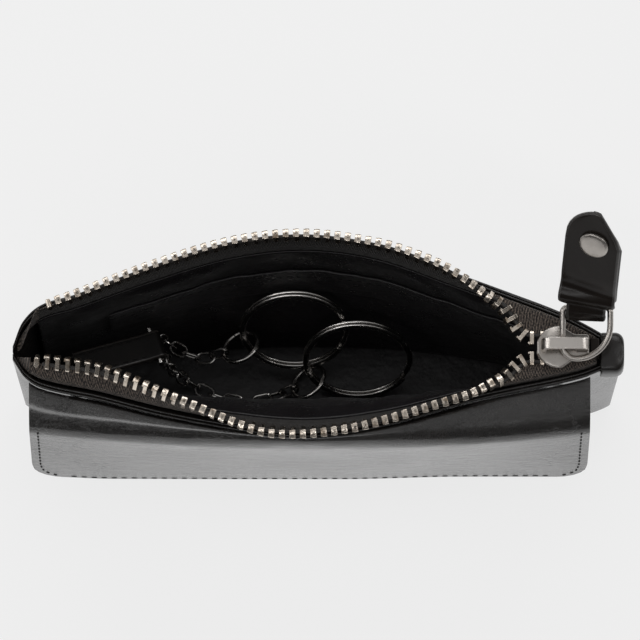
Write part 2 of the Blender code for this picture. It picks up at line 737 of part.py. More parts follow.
def add_bridge():
    """Add the arched bar that the pull ring runs under."""
    base = PLATE_TOP + GAP
    left = SLIDER_LEFT + BRIDGE_FROM_CROWN
    right = SLIDER_RIGHT - GAP
    under = base + BRIDGE_CLEARANCE
    top = under + BRIDGE_THICKNESS
    soft = 0.35 * BRIDGE_ROUND
    inside_left = left + BRIDGE_FRONT_FOOT
    inside_right = right - BRIDGE_REAR_FOOT
    outline = [(left, base), (left, top - BRIDGE_ROUND), (left + soft, top - soft), (left + BRIDGE_ROUND, top),
               (right - BRIDGE_ROUND, top), (right - soft, top - soft), (right, top - BRIDGE_ROUND),
               (right, base), (inside_right, base), (inside_right, under - BRIDGE_INNER_ROUND),
               (inside_right - BRIDGE_INNER_ROUND, under), (inside_left + BRIDGE_INNER_ROUND, under),
               (inside_left, under - BRIDGE_INNER_ROUND), (inside_left, base)]
    bm = prism(outline, BRIDGE_WIDTH)
    place = placement(Vector((0, SLIDER_CENTRE_Y + BRIDGE_WIDTH / 2, 0)), Vector((1, 0, 0)), Vector((0, -1, 0)))
    return add_object("slider_bridge", moved(bm, place), SATIN_NICKEL)


RING_UP = Vector((0, math.cos(RING_TILT), math.sin(RING_TILT)))
RING_NORMAL = Vector((0, -math.sin(RING_TILT), math.cos(RING_TILT)))
RING_SPAN_X = RING_INNER_WIDTH + RING_WIRE
RING_SPAN_Y = RING_INNER_LENGTH + RING_WIRE
BAR_CENTRE = PULL_PIVOT + RING_UP * (RING_SPAN_Y - RING_FRONT) + Vector((RING_SPAN_X / 2, 0, 0))


def rounded_loop(width, length, corners, steps):
    """Return points of a rectangle from (0, 0) to (width, length) with rounded corners."""
    points = []
    low, high = corners
    centres = ((width - low, low, low, -90), (width - high, length - high, high, 0),
               (high, length - high, high, 90), (low, low, low, 180))
    for cx, cy, radius, start in centres:
        for i in range(steps + 1):
            angle = math.radians(start + 90 * i / steps)
            points.append((cx + radius * math.cos(angle), cy + radius * math.sin(angle)))
    return points


def add_pull():
    """Add the wire ring, the folded leather tab on its far bar, and the tab's rivet."""
    loop = rounded_loop(RING_SPAN_X, RING_SPAN_Y, (RING_FRONT, RING_FAR_CORNER), 4)
    points = [PULL_PIVOT + Vector((a, 0, 0)) + RING_UP * (b - RING_FRONT) for a, b in loop]
    ring = add_object("pull_ring", flat_wire_ring(points, RING_NORMAL, RING_RADIUS, 6), SATIN_NICKEL)
    return ring, [add_tab(), *add_rivet()]


TAB_ALONG = Vector((TAB_SKEW, math.cos(TAB_TILT), math.sin(TAB_TILT))).normalized()
TAB_NORMAL = Vector((1, 0, 0)).cross(TAB_ALONG).normalized()
TAB_PLACE = placement(BAR_CENTRE, TAB_NORMAL.cross(TAB_ALONG) * -1, TAB_NORMAL)
TAB_LAYER_OFFSET = (TAB_LEATHER + GAP) / 2


def tab_outline():
    """Return the tab's face, from its narrow fold to its pointed, rounded tip."""
    half = TAB_WIDTH / 2
    neck = TAB_NECK_WIDTH / 2
    fold = -RING_WIRE / 2 - GAP - TAB_LEATHER - SINK
    side = [(neck, fold), (neck, TAB_NECK_LENGTH / 2), (half, TAB_SHOULDER)]
    side += [(half * across, TAB_LENGTH - TAB_POINT * short) for across, short in
             ((1, 1), (0.94, 0.62), (0.73, 0.32), (0.38, 0.08), (0, 0))]
    return side + [(-x, y) for x, y in side[-2::-1]]


def add_tab():
    """Add the leather strip folded round the ring's bar, cut to the tab's outline."""
    bend = RING_WIRE / 2 + GAP + TAB_LEATHER / 2
    turn = [math.radians(a) for a in range(135, -136, -30)]
    end = TAB_LENGTH + TAB_LEATHER
    path = [(end, TAB_LAYER_OFFSET), (TAB_NECK_LENGTH, TAB_LAYER_OFFSET)]
    path += [(-math.cos(a) * bend, math.sin(a) * bend) for a in turn]
    path += [(TAB_NECK_LENGTH, -TAB_LAYER_OFFSET), (end, -TAB_LAYER_OFFSET)]
    strip = strip_section(path, TAB_LEATHER)
    half = TAB_WIDTH / 2 + TAB_LEATHER
    body = loft([[Vector((x, s, n)) for s, n in strip] for x in (-half, half)])
    reach = bend + 2 * TAB_LEATHER
    cutter = moved(prism(tab_outline(), 2 * reach), Matrix.Translation(Vector((0, 0, -reach))))
    solids = [moved(body, TAB_PLACE), moved(cutter, TAB_PLACE)]
    return joined("pull_tab", solids, BLACK_LEATHER, "INTERSECT")


def strip_section(path, thickness):
    """Return the closed outline of a strip of this thickness along a path of 2D points."""
    left = []
    right = []
    for i, (x, y) in enumerate(path):
        x0, y0 = path[max(i - 1, 0)]
        x1, y1 = path[min(i + 1, len(path) - 1)]
        length = math.hypot(x1 - x0, y1 - y0)
        normal = (-(y1 - y0) / length, (x1 - x0) / length)
        left.append((x + normal[0] * thickness / 2, y + normal[1] * thickness / 2))
        right.append((x - normal[0] * thickness / 2, y - normal[1] * thickness / 2))
    return left + right[::-1]


def add_rivet():
    """Add the rivet's domed cap in front of the tab and its flat base behind."""
    radius = RIVET_DIAMETER / 2
    face = TAB_LEATHER + GAP / 2 + GAP
    dome = [(0, 0), (radius, 0), (radius, RIVET_HEIGHT * 0.3), (radius * 0.8, RIVET_HEIGHT * 0.75),
            (radius * 0.4, RIVET_HEIGHT), (0, RIVET_HEIGHT)]
    base_radius = RIVET_BASE_DIAMETER / 2
    plate = [(0, 0), (base_radius, 0), (base_radius, RIVET_BASE_HEIGHT), (0, RIVET_BASE_HEIGHT)]
    along = TAB_LENGTH - RIVET_FROM_TIP
    front = Matrix.Translation(Vector((0, along, -face))) @ Matrix.Rotation(math.pi, 4, "X")
    back = Matrix.Translation(Vector((0, along, face)))
    cap_side, base_side = (front, back) if TAB_NORMAL.y > 0 else (back, front)
    return [add_object("rivet_cap", moved(turned(dome), TAB_PLACE @ cap_side), SATIN_NICKEL),
            add_object("rivet_base", moved(turned(plate), TAB_PLACE @ base_side), SATIN_NICKEL)]


# The flap, its pocket and the snap

FLAP_AXIS = Vector((0, -FLAP_FOLD_DEPTH, FLAP_FOLD_HEIGHT))


def fold_depth(x):
    """Return the y of the fold's crest; it bows out in the middle."""
    middle = (FLAP_LEFT + FLAP_RIGHT) / 2
    half = (FLAP_RIGHT - FLAP_LEFT) / 2
    bow = max(1 - abs((x - middle) / half) ** 2.2, 0)
    return -(FLAP_FOLD_END_DEPTH + (FLAP_FOLD_DEPTH - FLAP_FOLD_END_DEPTH) * bow)


def flap_point(x, height, inset):
    """Return a point of the hanging flap, inset from its outer face."""
    share = (FLAP_FOLD_HEIGHT - height) / (FLAP_FOLD_HEIGHT - FLAP_BOTTOM_HEIGHT)
    fall = 1 - (1 - min(max(share, 0), 1)) ** 2.6
    top = fold_depth(x)
    return Vector((x, top + (-FLAP_BOTTOM_DEPTH - top) * fall + inset, height))


def flap_sheet(name, inset, thickness, trim, finish):
    """Add one layer of the flap, with its lower corners rounded."""
    left = FLAP_LEFT + trim
    right = FLAP_RIGHT - trim
    shared = spread(FLAP_LEFT, FLAP_RIGHT, 22)
    shared += [FLAP_LEFT + FLAP_CORNER * 0.4, FLAP_RIGHT - FLAP_CORNER * 0.4]
    inside = sorted(x for x in shared if left + CLOSEST_COLUMNS < x < right - CLOSEST_COLUMNS)
    columns = [left] + inside + [right]
    rows = 5

    def height(x, share):
        near_end = max(FLAP_CORNER - min(x - left, right - x), 0)
        lift = FLAP_CORNER - math.sqrt(max(FLAP_CORNER ** 2 - near_end ** 2, 0))
        bottom = FLAP_BOTTOM_HEIGHT + trim + lift
        top = FLAP_FOLD_HEIGHT - GAP / 2
        return top + (bottom - top) * share

    shares = [(i / rows) ** 1.5 for i in range(rows + 1)]
    outer = [[flap_point(x, height(x, s), inset) for x in columns] for s in shares]
    inner = [[flap_point(x, height(x, s), inset + thickness) for x in columns] for s in shares]
    return add_object(name, grid_solid(outer, inner), finish)


def add_flap_root():
    """Add the strip of leather between the front wall and the fold."""
    columns = [u * BODY_WIDTH / 2 for u in
               stations(FLAP_LEFT / (BODY_WIDTH / 2), FLAP_RIGHT / (BODY_WIDTH / 2))]
    top_rows = []
    under_rows = []
    inner_height = EDGE_HEIGHT - ROOT_SEAM_DROP
    for share in (0.0, 0.5, 0.85, 1.0):
        top = []
        under = []
        for x in columns:
            wall = -wall_depth(x / (BODY_WIDTH / 2), inner_height, -1) - GAP
            y = wall + (min(fold_depth(x), wall - ROOT_MIN_WIDTH) - wall) * share
            z = inner_height - ROOT_DROP * share ** 2
            top.append(Vector((x, y, z)))
            under.append(Vector((x, y, FLAP_FOLD_HEIGHT + GAP / 2 if share == 1.0 else z - FLAP_LEATHER)))
        top_rows.append(top)
        under_rows.append(under)
    add_object("flap_root", grid_solid(top_rows, under_rows), BLACK_LEATHER)


def wall_front(x, height):
    """Return the y just in front of the front wall."""
    return -wall_depth(x / half_width(height), height, -1) - GAP


def add_pocket():
    """Add the front pocket's face, its two gussets and its bottom."""
    inner_face = -POCKET_DEPTH + POCKET_LEATHER
    half = BODY_WIDTH / 2 - POCKET_FROM_END
    corner = POCKET_CORNER
    outline = [(x, z + POCKET_BOTTOM) for x, z in
               ((-half + corner, 0), (half - corner, 0), (half - corner * 0.3, corner * 0.3), (half, corner),
                (half, POCKET_TOP - POCKET_BOTTOM), (-half, POCKET_TOP - POCKET_BOTTOM), (-half, corner),
                (-half + corner * 0.3, corner * 0.3))]
    face_place = placement(Vector((0, inner_face, 0)), Vector((1, 0, 0)), Vector((0, -1, 0)))
    add_object("pocket_front", moved(prism(outline, POCKET_LEATHER), face_place), BLACK_LEATHER)
    front_edge = inner_face + GAP
    for label, side in (("left", -1), ("right", 1)):
        x_out = side * (half - GUSSET_INSET)
        sheets = []
        for x in (x_out, x_out - side * POCKET_LEATHER):
            heights = spread(POCKET_BOTTOM + corner, POCKET_TOP, 4)
            sheets.append([[Vector((x, front_edge, z)), Vector((x, wall_front(x, z), z))] for z in heights])
        add_object(f"pocket_gusset_{label}", grid_solid(*sheets), BLACK_LEATHER)
    inside = half - GUSSET_INSET - POCKET_LEATHER - GAP
    layers = []
    for z in (POCKET_BOTTOM + POCKET_LEATHER, POCKET_BOTTOM):
        xs = spread(-inside, inside, 14)
        layers.append([[Vector((x, front_edge, z)) for x in xs], [Vector((x, wall_front(x, z), z)) for x in xs]])
    add_object("pocket_bottom", grid_solid(*layers), BLACK_LEATHER)


def add_snap():
    """Add the stud on the pocket and the socket that it clicks into; return the flap's socket."""
    toward_flap = Vector((0, -1, 0))
    radius = SNAP_DIAMETER / 2
    nub = SNAP_NUB_DIAMETER / 2
    stud = [(0, 0), (radius, 0), (radius, STUD_THICKNESS), (nub, STUD_THICKNESS),
            (nub * 0.8, STUD_THICKNESS + SNAP_NUB), (0, STUD_THICKNESS + SNAP_NUB)]
    place = placement(Vector((SNAP_X, -POCKET_DEPTH - GAP, SNAP_HEIGHT)), Vector((1, 0, 0)), toward_flap)
    add_object("snap_stud", moved(turned(stud), place), SATIN_NICKEL)
    inset = FLAP_LEATHER + FLAP_LINING + 2 * GAP
    face = flap_point(SNAP_X, SNAP_HEIGHT, inset).y
    hole = nub + SNAP_HOLE_CLEARANCE
    web = SNAP_NUB
    socket = [(0, 0), (radius, 0), (radius, SOCKET_THICKNESS), (hole, SOCKET_THICKNESS), (hole, web), (0, web)]
    place = placement(Vector((SNAP_X, face + GAP, SNAP_HEIGHT)), Vector((1, 0, 0)), Vector((0, 1, 0)))
    return add_object("snap_socket", moved(turned(socket), place), SATIN_NICKEL)


# The strap, rings and chains inside

STRAP_ALONG = (STRAP_END - STRAP_START).normalized()
STRAP_ACROSS = Vector((0, 0, 1)).cross(STRAP_ALONG).normalized()
STRAP_NORMAL = STRAP_ALONG.cross(STRAP_ACROSS)


def add_contents():
    """Add the strap, the rings and the two chains inside the pouch, each on its joint's pivot."""
    d_ring, hooks = add_strap()
    d_pivot = pivot("d_ring_pivot", STRAP_END)
    attach(d_ring, d_pivot)
    reach = LINK_LENGTH / 2 - LINK_WIRE - D_RING_WIRE / 2 - GAP
    next_reach = reach + LINK_LENGTH - 2 * LINK_WIRE - LINK_SLACK
    settings = (("a", KEY_RING_A_CENTRE, JUMP_A_ANGLE, CHAIN_A_ROUTE, hooks[0]),
                ("b", KEY_RING_B_CENTRE, JUMP_B_ANGLE, CHAIN_B_ROUTE, hooks[1]))
    for label, centre, angle, middle, hook in settings:
        key_ring, up, mean = split_ring(f"key_ring_{label}", centre)
        jump, end, end_out, end_wire = jump_ring(f"jump_ring_{label}", centre, up, mean, angle)
        start, start_out, start_wire = hook
        knots = [start + start_out * reach, start + start_out * next_reach, *middle,
                 end + end_out * next_reach, end + end_out * reach]
        links = chain(f"chain_{label}", knots, start_wire, end_wire)
        chain_pivot = pivot(f"chain_{label}_pivot", start)
        jump_pivot = pivot(f"jump_ring_{label}_pivot", end)
        key_pivot = pivot(f"key_ring_{label}_pivot", centre)
        for link in links:
            attach(link, chain_pivot)
        attach(jump, jump_pivot)
        attach(key_ring, key_pivot)


def add_strap():
    """Add the strap, folded back over the D-ring's bar, and the D-ring."""
    bend = D_RING_WIRE / 2 + GAP + STRAP_LEATHER / 2
    offset = (STRAP_LEATHER + GAP) / 2
    length = (STRAP_END - STRAP_START).length
    arc = [(length + bend * math.cos(math.radians(a)), bend * math.sin(math.radians(a)))
           for a in range(120, -121, -30)]
    path = [(0, offset), (length - STRAP_NECK, offset), *arc, (length - STRAP_NECK, -offset),
            (length * STRAP_TURN_BACK, -offset)]
    outline = strip_section(path, STRAP_LEATHER)
    loops = []
    for across in (-STRAP_WIDTH / 2, STRAP_WIDTH / 2):
        loops.append([STRAP_START + STRAP_ALONG * s + STRAP_NORMAL * n + STRAP_ACROSS * across
                      for s, n in outline])
    add_object("key_strap", loft(loops), BLACK_LEATHER)
    return add_d_ring()


def add_d_ring():
    """Add the D-ring; return it with the two places on its bow where the chains hook on."""
    radius = D_RING_WIDTH / 2
    hang = (STRAP_ALONG * D_RING_SWEEP + Vector((0, 0, -1))).normalized()
    points = [(-radius, 0), (-radius / 3, 0), (radius / 3, 0), (radius, 0)]
    points += [(radius * math.cos(math.pi * i / 8), D_RING_SHANK + radius * math.sin(math.pi * i / 8))
               for i in range(9)]
    route = [STRAP_END + STRAP_ACROSS * a + hang * b for a, b in points]
    normal = STRAP_ACROSS.cross(hang).normalized()
    ring = add_object("d_ring", flat_wire_ring(route, normal, D_RING_WIRE / 2, 6), DARK_STEEL)
    hooks = []
    for turn in (math.pi / 2 - HOOK_SPREAD, math.pi / 2 + HOOK_SPREAD):
        out = STRAP_ACROSS * math.cos(turn) + hang * math.sin(turn)
        tangent = hang * math.cos(turn) - STRAP_ACROSS * math.sin(turn)
        hooks.append((STRAP_END + hang * D_RING_SHANK + out * radius, out, tangent))
    return ring, hooks


def split_ring(name, centre):
    """Add a split ring: two flat turns of wire side by side, with a jog where one steps to the next."""
    mean = (KEY_RING_DIAMETER - KEY_RING_WIRE_WIDTH) / 2
    pitch = KEY_RING_WIRE + KEY_RING_TURN_GAP
    steps = KEY_RING_STEPS
    half_jog = KEY_RING_JOG_STEPS // 2
    loops = []
    for i in range(half_jog, 2 * steps - half_jog + 1):
        angle = 2 * math.pi * i / steps
        radial = Vector((math.cos(angle), math.sin(angle), 0))
        height = pitch * (ease((i - steps + half_jog) / KEY_RING_JOG_STEPS) - 0.5)
        corners = ((-1, -1), (1, -1), (1, 1), (-1, 1))
        loops.append([radial * (mean + a * KEY_RING_WIRE_WIDTH / 2)
                      + Vector((0, 0, height + b * KEY_RING_WIRE / 2)) for a, b in corners])
    up = Vector((0, math.cos(KEY_RING_LEAN), math.sin(KEY_RING_LEAN)))
    place = placement(centre, Vector((1, 0, 0)), Vector((1, 0, 0)).cross(up))
    return add_object(name, moved(loft(loops), place), DARK_STEEL), up, mean


def jump_ring(name, key_centre, up, mean, angle):
    """Add a round wire ring through a split ring; return it with the point where its chain hooks in."""
    out = Vector((math.cos(angle), 0, 0)) + up * math.sin(angle)
    tangent = up * math.cos(angle) - Vector((math.sin(angle), 0, 0))
    across = tangent.cross(out)
    radius = (JUMP_RING_DIAMETER - JUMP_RING_WIRE) / 2
    centre = key_centre + out * (mean + radius - (JUMP_RING_WIRE + KEY_RING_WIRE_WIDTH) / 2 - JUMP_RING_SLACK)
    steps = 16
    points = [centre + radius * (math.cos(2 * math.pi * i / steps) * out
                                 + math.sin(2 * math.pi * i / steps) * across) for i in range(steps)]
    ring = add_object(name, flat_wire_ring(points, tangent, JUMP_RING_WIRE / 2, 6), DARK_STEEL)
    return ring, centre + out * radius, out, across


def route_points(knots, spacing):
    """Return points at even spacing along a smooth curve through knots."""
    fine = []
    for i in range(len(knots) - 1):
        before = knots[max(i - 1, 0)]
        after = knots[min(i + 2, len(knots) - 1)]
        slope0 = (knots[i + 1] - before) / 2
        slope1 = (after - knots[i]) / 2
        for step in range(24):
            t = step / 24
            fine.append(knots[i] * (2 * t ** 3 - 3 * t ** 2 + 1) + slope0 * (t ** 3 - 2 * t ** 2 + t)
                        + knots[i + 1] * (3 * t ** 2 - 2 * t ** 3) + slope1 * (t ** 3 - t ** 2))
    fine.append(knots[-1])
    lengths = [0.0]
    for low, high in zip(fine, fine[1:]):
        lengths.append(lengths[-1] + (high - low).length)
    count = max(round(lengths[-1] / spacing), 1)
    points = []
    for i in range(count + 1):
        target = lengths[-1] * i / count
        j = max(k for k in range(len(lengths) - 1) if lengths[k] <= target + 1e-9)
        part = (target - lengths[j]) / (lengths[j + 1] - lengths[j])
        points.append(fine[j].lerp(fine[j + 1], part))
    return points


def chain(prefix, knots, first_normal, last_normal):
    """Add the links of a chain, each turned a quarter against the last."""
    spacing = LINK_LENGTH - 2 * LINK_WIRE - LINK_SLACK
    centres = route_points(knots, spacing)
    count = len(centres)
    frames = []
    side = first_normal
    for i, centre in enumerate(centres):
        along = (centres[min(i + 1, count - 1)] - centres[max(i - 1, 0)]).normalized()
        side = (side - along * side.dot(along)).normalized()
        frames.append((centre, along, side))
    centre, along, side = frames[-1]
    wanted = math.atan2(last_normal.dot(along.cross(side)), last_normal.dot(side))
    quarter = math.pi / 2
    extra = (wanted - (count - 1) * quarter + quarter) % math.pi - quarter
    links = []
    for i, (centre, along, side) in enumerate(frames):
        turn = i * quarter + extra * i / (count - 1)
        normal = math.cos(turn) * side + math.sin(turn) * along.cross(side)
        links.append(add_link(f"{prefix}_link_{i + 1}", centre, along, normal))
    return links


def add_link(name, centre, along, normal):
    """Add one oval link of round wire."""
    across = normal.cross(along)
    half_wide = (LINK_WIDTH - LINK_WIRE) / 2
    straight = (LINK_LENGTH - LINK_WIDTH) / 2
    path = []
    for k in range(10):
        angle = 2 * math.pi * (k + 0.5) / 10
        shift = math.copysign(straight, math.cos(angle))
        path.append(centre + along * (shift + half_wide * math.cos(angle)) + across * half_wide * math.sin(angle))
    return add_object(name, flat_wire_ring(path, normal, LINK_WIRE / 2, 5), DARK_STEEL)


def add_zip_pull():
    """Add the slider and what hangs on it, each on the pivot of its joint."""
    slider_pivot = pivot("slider_pivot", Vector((SLIDER_LEFT, SLIDER_CENTRE_Y, ZIP_HEIGHT)))
    ring_pivot = pivot("pull_ring_pivot", PULL_PIVOT)
    tab_pivot = pivot("pull_tab_pivot", BAR_CENTRE)
    for piece in add_slider():
        attach(piece, slider_pivot)
    ring, tab_pieces = add_pull()
    attach(ring, ring_pivot)
    for piece in tab_pieces:
        attach(piece, tab_pivot)


def add_flap():
    """Add the flap on the pivot of its fold, with the socket it carries."""
    fold_pivot = pivot("flap_pivot", FLAP_AXIS)
    pieces = [
        flap_sheet("flap_outer", 0, FLAP_LEATHER, 0, BLACK_LEATHER),
        flap_sheet("flap_lining", FLAP_LEATHER + GAP, FLAP_LINING, FLAP_LINING_TRIM, BLACK_LEATHER),
        add_snap(),
    ]
    for piece in pieces:
        attach(piece, fold_pivot)


def main():
    """Build the pouch."""
    clear_scene()
    add_body()
    add_zip()
    add_end_tab()
    add_zip_pull()
    add_flap()
    add_flap_root()
    add_pocket()
    add_contents()


main()
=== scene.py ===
"""The looks of a small black leather zip pouch with a front flap, standing open on its base.

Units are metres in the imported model's frame: +Z is up, +X runs to the zip slider, -Y is the flap side.
Each piece is a finer mesh of the solid it stands for, worked out from the same named sizes.
"""
import math

import bmesh
import bpy
from mathutils import Matrix, Vector, noise


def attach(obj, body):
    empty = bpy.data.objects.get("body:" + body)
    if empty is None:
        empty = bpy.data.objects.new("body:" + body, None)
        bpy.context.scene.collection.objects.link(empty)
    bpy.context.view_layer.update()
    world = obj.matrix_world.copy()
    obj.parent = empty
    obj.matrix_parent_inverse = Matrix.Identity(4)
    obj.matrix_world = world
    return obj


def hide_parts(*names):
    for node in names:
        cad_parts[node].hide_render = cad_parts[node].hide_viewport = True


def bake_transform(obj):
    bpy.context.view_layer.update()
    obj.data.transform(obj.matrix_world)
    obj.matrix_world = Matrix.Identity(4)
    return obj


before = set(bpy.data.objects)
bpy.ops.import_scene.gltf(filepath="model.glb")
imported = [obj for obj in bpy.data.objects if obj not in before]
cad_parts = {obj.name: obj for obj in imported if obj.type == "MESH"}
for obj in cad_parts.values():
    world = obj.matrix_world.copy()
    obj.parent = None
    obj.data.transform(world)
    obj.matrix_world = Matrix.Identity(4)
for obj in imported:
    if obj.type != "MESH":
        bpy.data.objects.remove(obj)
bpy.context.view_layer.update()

# Camera, fitted to the photograph's zip, edges and base
CAMERA_TARGET = Vector((0.00055, 0.00839, 0.060))
CAMERA_DISTANCE = 2.5
CAMERA_ELEVATION = math.radians(79.09)
CAMERA_LENS = 571.5
SENSOR = 36.0
CAMERA_REACH = 20

# Floor and light
FLOOR_SIZE = 3.0
FLOOR_DROP = 0.0002
BACKDROP_GREY = (0.855, 0.855, 0.855, 1.0)
BACKDROP_GLOW = 0.85
BACKDROP_STRENGTH = 1.07
ROOM_LOW = 0.08
ROOM_HIGH = 0.46
ROOM_RISE = (0.64, 0.93)
LIGHT_AIM = Vector((0, 0, 0.05))
LIGHTS = (("back_box", (0.0, 1.0, 0.85), (1.6, 0.5), 6.3), ("front_box", (-0.38, -0.68, 1.23), (1.3, 0.15), 3.0),
          ("left_box", (-1.05, 0.1, 0.75), (0.3, 0.9), 2.5), ("right_box", (1.05, 0.1, 0.75), (0.3, 0.9), 2.5))

# Pouch body, as in the part's source
GAP = 0.0003
BODY_WIDTH = 0.150
BASE_WIDTH = 0.147
EDGE_HEIGHT = 0.061
BASE_FRONT_DEPTH = 0.011
BASE_BACK_DEPTH = 0.0145
MOUTH_FRONT_DEPTH = 0.021
MOUTH_BACK_DEPTH = 0.0292
FRONT_FLARE_START = 0.035
LEATHER = 0.0016
LINING = 0.0007
LINING_DROP = 0.0025
LINING_LEFT_GAP = 0.0060
LINING_RIGHT_GAP = 0.0096
FLOOR_END_GAP = 0.0010
SLIP_POCKET_FROM_END = 0.023
SLIP_POCKET_TOP = 0.044
SLIP_POCKET_BOTTOM = 0.030
SLIP_POCKET_SATIN = 0.0005

# Zip
TAPE = 0.0006
TAPE_TUCK = 0.0062
TAPE_REACH = 0.0070
TAPE_MIN_RISE = 0.0023
TAPE_LEAN_REACH = 0.0025
TAPE_FROM_END = 0.0065
TOOTH_PITCH = 0.00254
TOOTH_LENGTH = 0.0030
TOOTH_THICKNESS = 0.0023
CORD_THICKNESS = 0.0012
CORD_WIDTH = 0.0010
FRONT_CHAIN_FROM_END = 0.0045
BACK_CHAIN_FROM_END = 0.0065
CHAIN_PAST_CROWN = 0.0026
CHAIN_CLOSING = 0.0040
STOP_LENGTH = 0.0022

# Slider and pull
SLIDER_FROM_END = 0.0212
SLIDER_LENGTH = 0.0128
SLIDER_CENTRE_Y = 0.0006
CROWN_WIDTH = 0.0104
TAIL_WIDTH = 0.0062
PLATE = 0.0012
CHANNEL_HEIGHT = 0.0030
FLANGE = 0.0009
SLOT_HEIGHT = 0.0013
POST_WIDTH = 0.0010
POST_FROM_CROWN = 0.0008
POST_LENGTH = 0.0032
TAIL_SHIFT = 0.0009
BRIDGE_WIDTH = 0.0030
BRIDGE_CLEARANCE = 0.0038
BRIDGE_THICKNESS = 0.0012
BRIDGE_FROM_CROWN = 0.0010
BRIDGE_FRONT_FOOT = 0.0014
BRIDGE_REAR_FOOT = 0.0030
BRIDGE_ROUND = 0.0018
BRIDGE_INNER_ROUND = 0.0006
RING_WIRE = 0.0015
RING_INNER_WIDTH = 0.0102
RING_INNER_LENGTH = 0.0112
RING_TILT = math.radians(18)
RING_FRONT = 0.0034
RING_FAR_CORNER = 0.0013
RING_FROM_CROWN = 0.0062
RING_LIFT = 0.0011
TAB_LENGTH = 0.0330
TAB_WIDTH = 0.0142
TAB_LEATHER = 0.0013
TAB_TILT = math.radians(56)
TAB_SKEW = 0.06
TAB_SHOULDER = 0.0075
TAB_NECK_LENGTH = 0.0040
TAB_POINT = 0.0100
RIVET_HEIGHT = 0.0012
RIVET_BASE_DIAMETER = 0.0063
RIVET_BASE_HEIGHT = 0.0006
RIVET_FROM_TIP = 0.0090

# Flap
FLAP_LEFT = -0.0710
FLAP_RIGHT = 0.0670
FLAP_FOLD_HEIGHT = 0.0565
FLAP_FOLD_END_DEPTH = 0.0132
FLAP_FOLD_DEPTH = 0.0223
FLAP_BOTTOM_HEIGHT = 0.0180
FLAP_BOTTOM_DEPTH = 0.0236
FLAP_LEATHER = 0.0014
FLAP_LINING = 0.0008
FLAP_LINING_TRIM = 0.0012
ROOT_SEAM_DROP = 0.0010
ROOT_MIN_WIDTH = 0.0010

# Pocket and snap under the flap
POCKET_HALF_WIDTH = 0.062
POCKET_TOP = 0.042
POCKET_BOTTOM = 0.005
POCKET_DEPTH = 0.0178
POCKET_LEATHER = 0.0014
POCKET_CORNER = 0.0050
GUSSET_INSET = 0.0002
SNAP_DIAMETER = 0.014
SNAP_NUB_DIAMETER = 0.005
SNAP_NUB = 0.0006
SNAP_HOLE_CLEARANCE = 0.0005
SNAP_X = -0.002
SNAP_HEIGHT = 0.028
STUD_THICKNESS = 0.0009
SOCKET_THICKNESS = 0.0011

# Saddle at the zip's right end
END_TAB_WIDTH = 0.0038
END_TAB_SPAN = 0.0104
END_TAB_DROP = 0.0040
END_TAB_LEATHER = 0.0018
END_TAB_ROUND = 0.00144

# Strap, rings and chains inside
STRAP_WIDTH = 0.0070
STRAP_LEATHER = 0.0012
STRAP_NECK = 0.0030
STRAP_TURN_BACK = 0.45
STRAP_START = Vector((-0.0600, 0.0000, 0.0420))
STRAP_END = Vector((-0.0405, 0.0068, 0.0345))
D_RING_WIDTH = 0.0094
D_RING_WIRE = 0.0013
D_RING_SHANK = 0.0015
D_RING_SWEEP = 0.25
HOOK_SPREAD = math.radians(20)
KEY_RING_DIAMETER = 0.0275
KEY_RING_WIRE_WIDTH = 0.0021
KEY_RING_WIRE = 0.0008
KEY_RING_TURN_GAP = 0.0003
KEY_RING_STEPS = 24
KEY_RING_JOG_STEPS = 4
KEY_RING_LEAN = math.radians(58)
JUMP_RING_DIAMETER = 0.0106
JUMP_RING_WIRE = 0.0011
JUMP_RING_SLACK = 0.0009
LINK_LENGTH = 0.0056
LINK_WIDTH = 0.0036
LINK_WIRE = 0.0007
LINK_SLACK = 0.0005
# Name, key ring's centre, wire ring's angle, and the chain's way
CHAINS = (("a", (-0.0058, 0.0132, 0.0220), 205,
           ((-0.0385, 0.0112, 0.0190), (-0.0345, 0.0096, 0.0138), (-0.0310, 0.0082, 0.0124))),
          ("b", (0.0100, 0.0068, 0.0160), 214,
           ((-0.0365, 0.0040, 0.0160), (-0.0325, 0.0026, 0.0080), (-0.0265, -0.0002, 0.0052),
            (-0.0184, -0.0021, 0.0048), (-0.0132, -0.0012, 0.0045))))

# Outlines seen from above: share of the half width, share of the depth
FRONT_MOUTH = ((-1, 0.083), (-0.96, 0.30), (-0.9, 0.43), (-0.72, 0.57), (-0.5, 0.77), (-0.19, 0.965),
               (0, 1.0), (0.23, 0.87), (0.51, 0.58), (0.8, 0.36), (0.89, 0.27), (1, 0.083))
BACK_MOUTH = ((-1, 0.060), (-0.97, 0.26), (-0.91, 0.41), (-0.8, 0.50), (-0.55, 0.73), (-0.29, 0.93),
              (-0.05, 1.0), (0.19, 0.925), (0.44, 0.70), (0.65, 0.50), (0.79, 0.36), (0.89, 0.23), (1, 0.060))
FRONT_CHAIN = ((-1, 0.085), (-0.85, 0.157), (-0.71, 0.25), (-0.46, 0.62), (-0.2, 0.965), (-0.07, 1.01),
               (0.1, 0.95), (0.23, 0.84), (0.37, 0.69), (0.5, 0.53), (0.62, 0.30), (0.70, 0.143))
BACK_CHAIN = ((-1, 0.27), (-0.91, 0.36), (-0.8, 0.452), (-0.55, 0.69), (-0.29, 0.897), (-0.05, 0.966),
              (0.19, 0.89), (0.32, 0.788), (0.44, 0.651), (0.55, 0.471), (0.65, 0.265), (0.70, 0.160))
CHAIN_CONVERGE = 0.70
CONVERGE_SPAN = 0.10

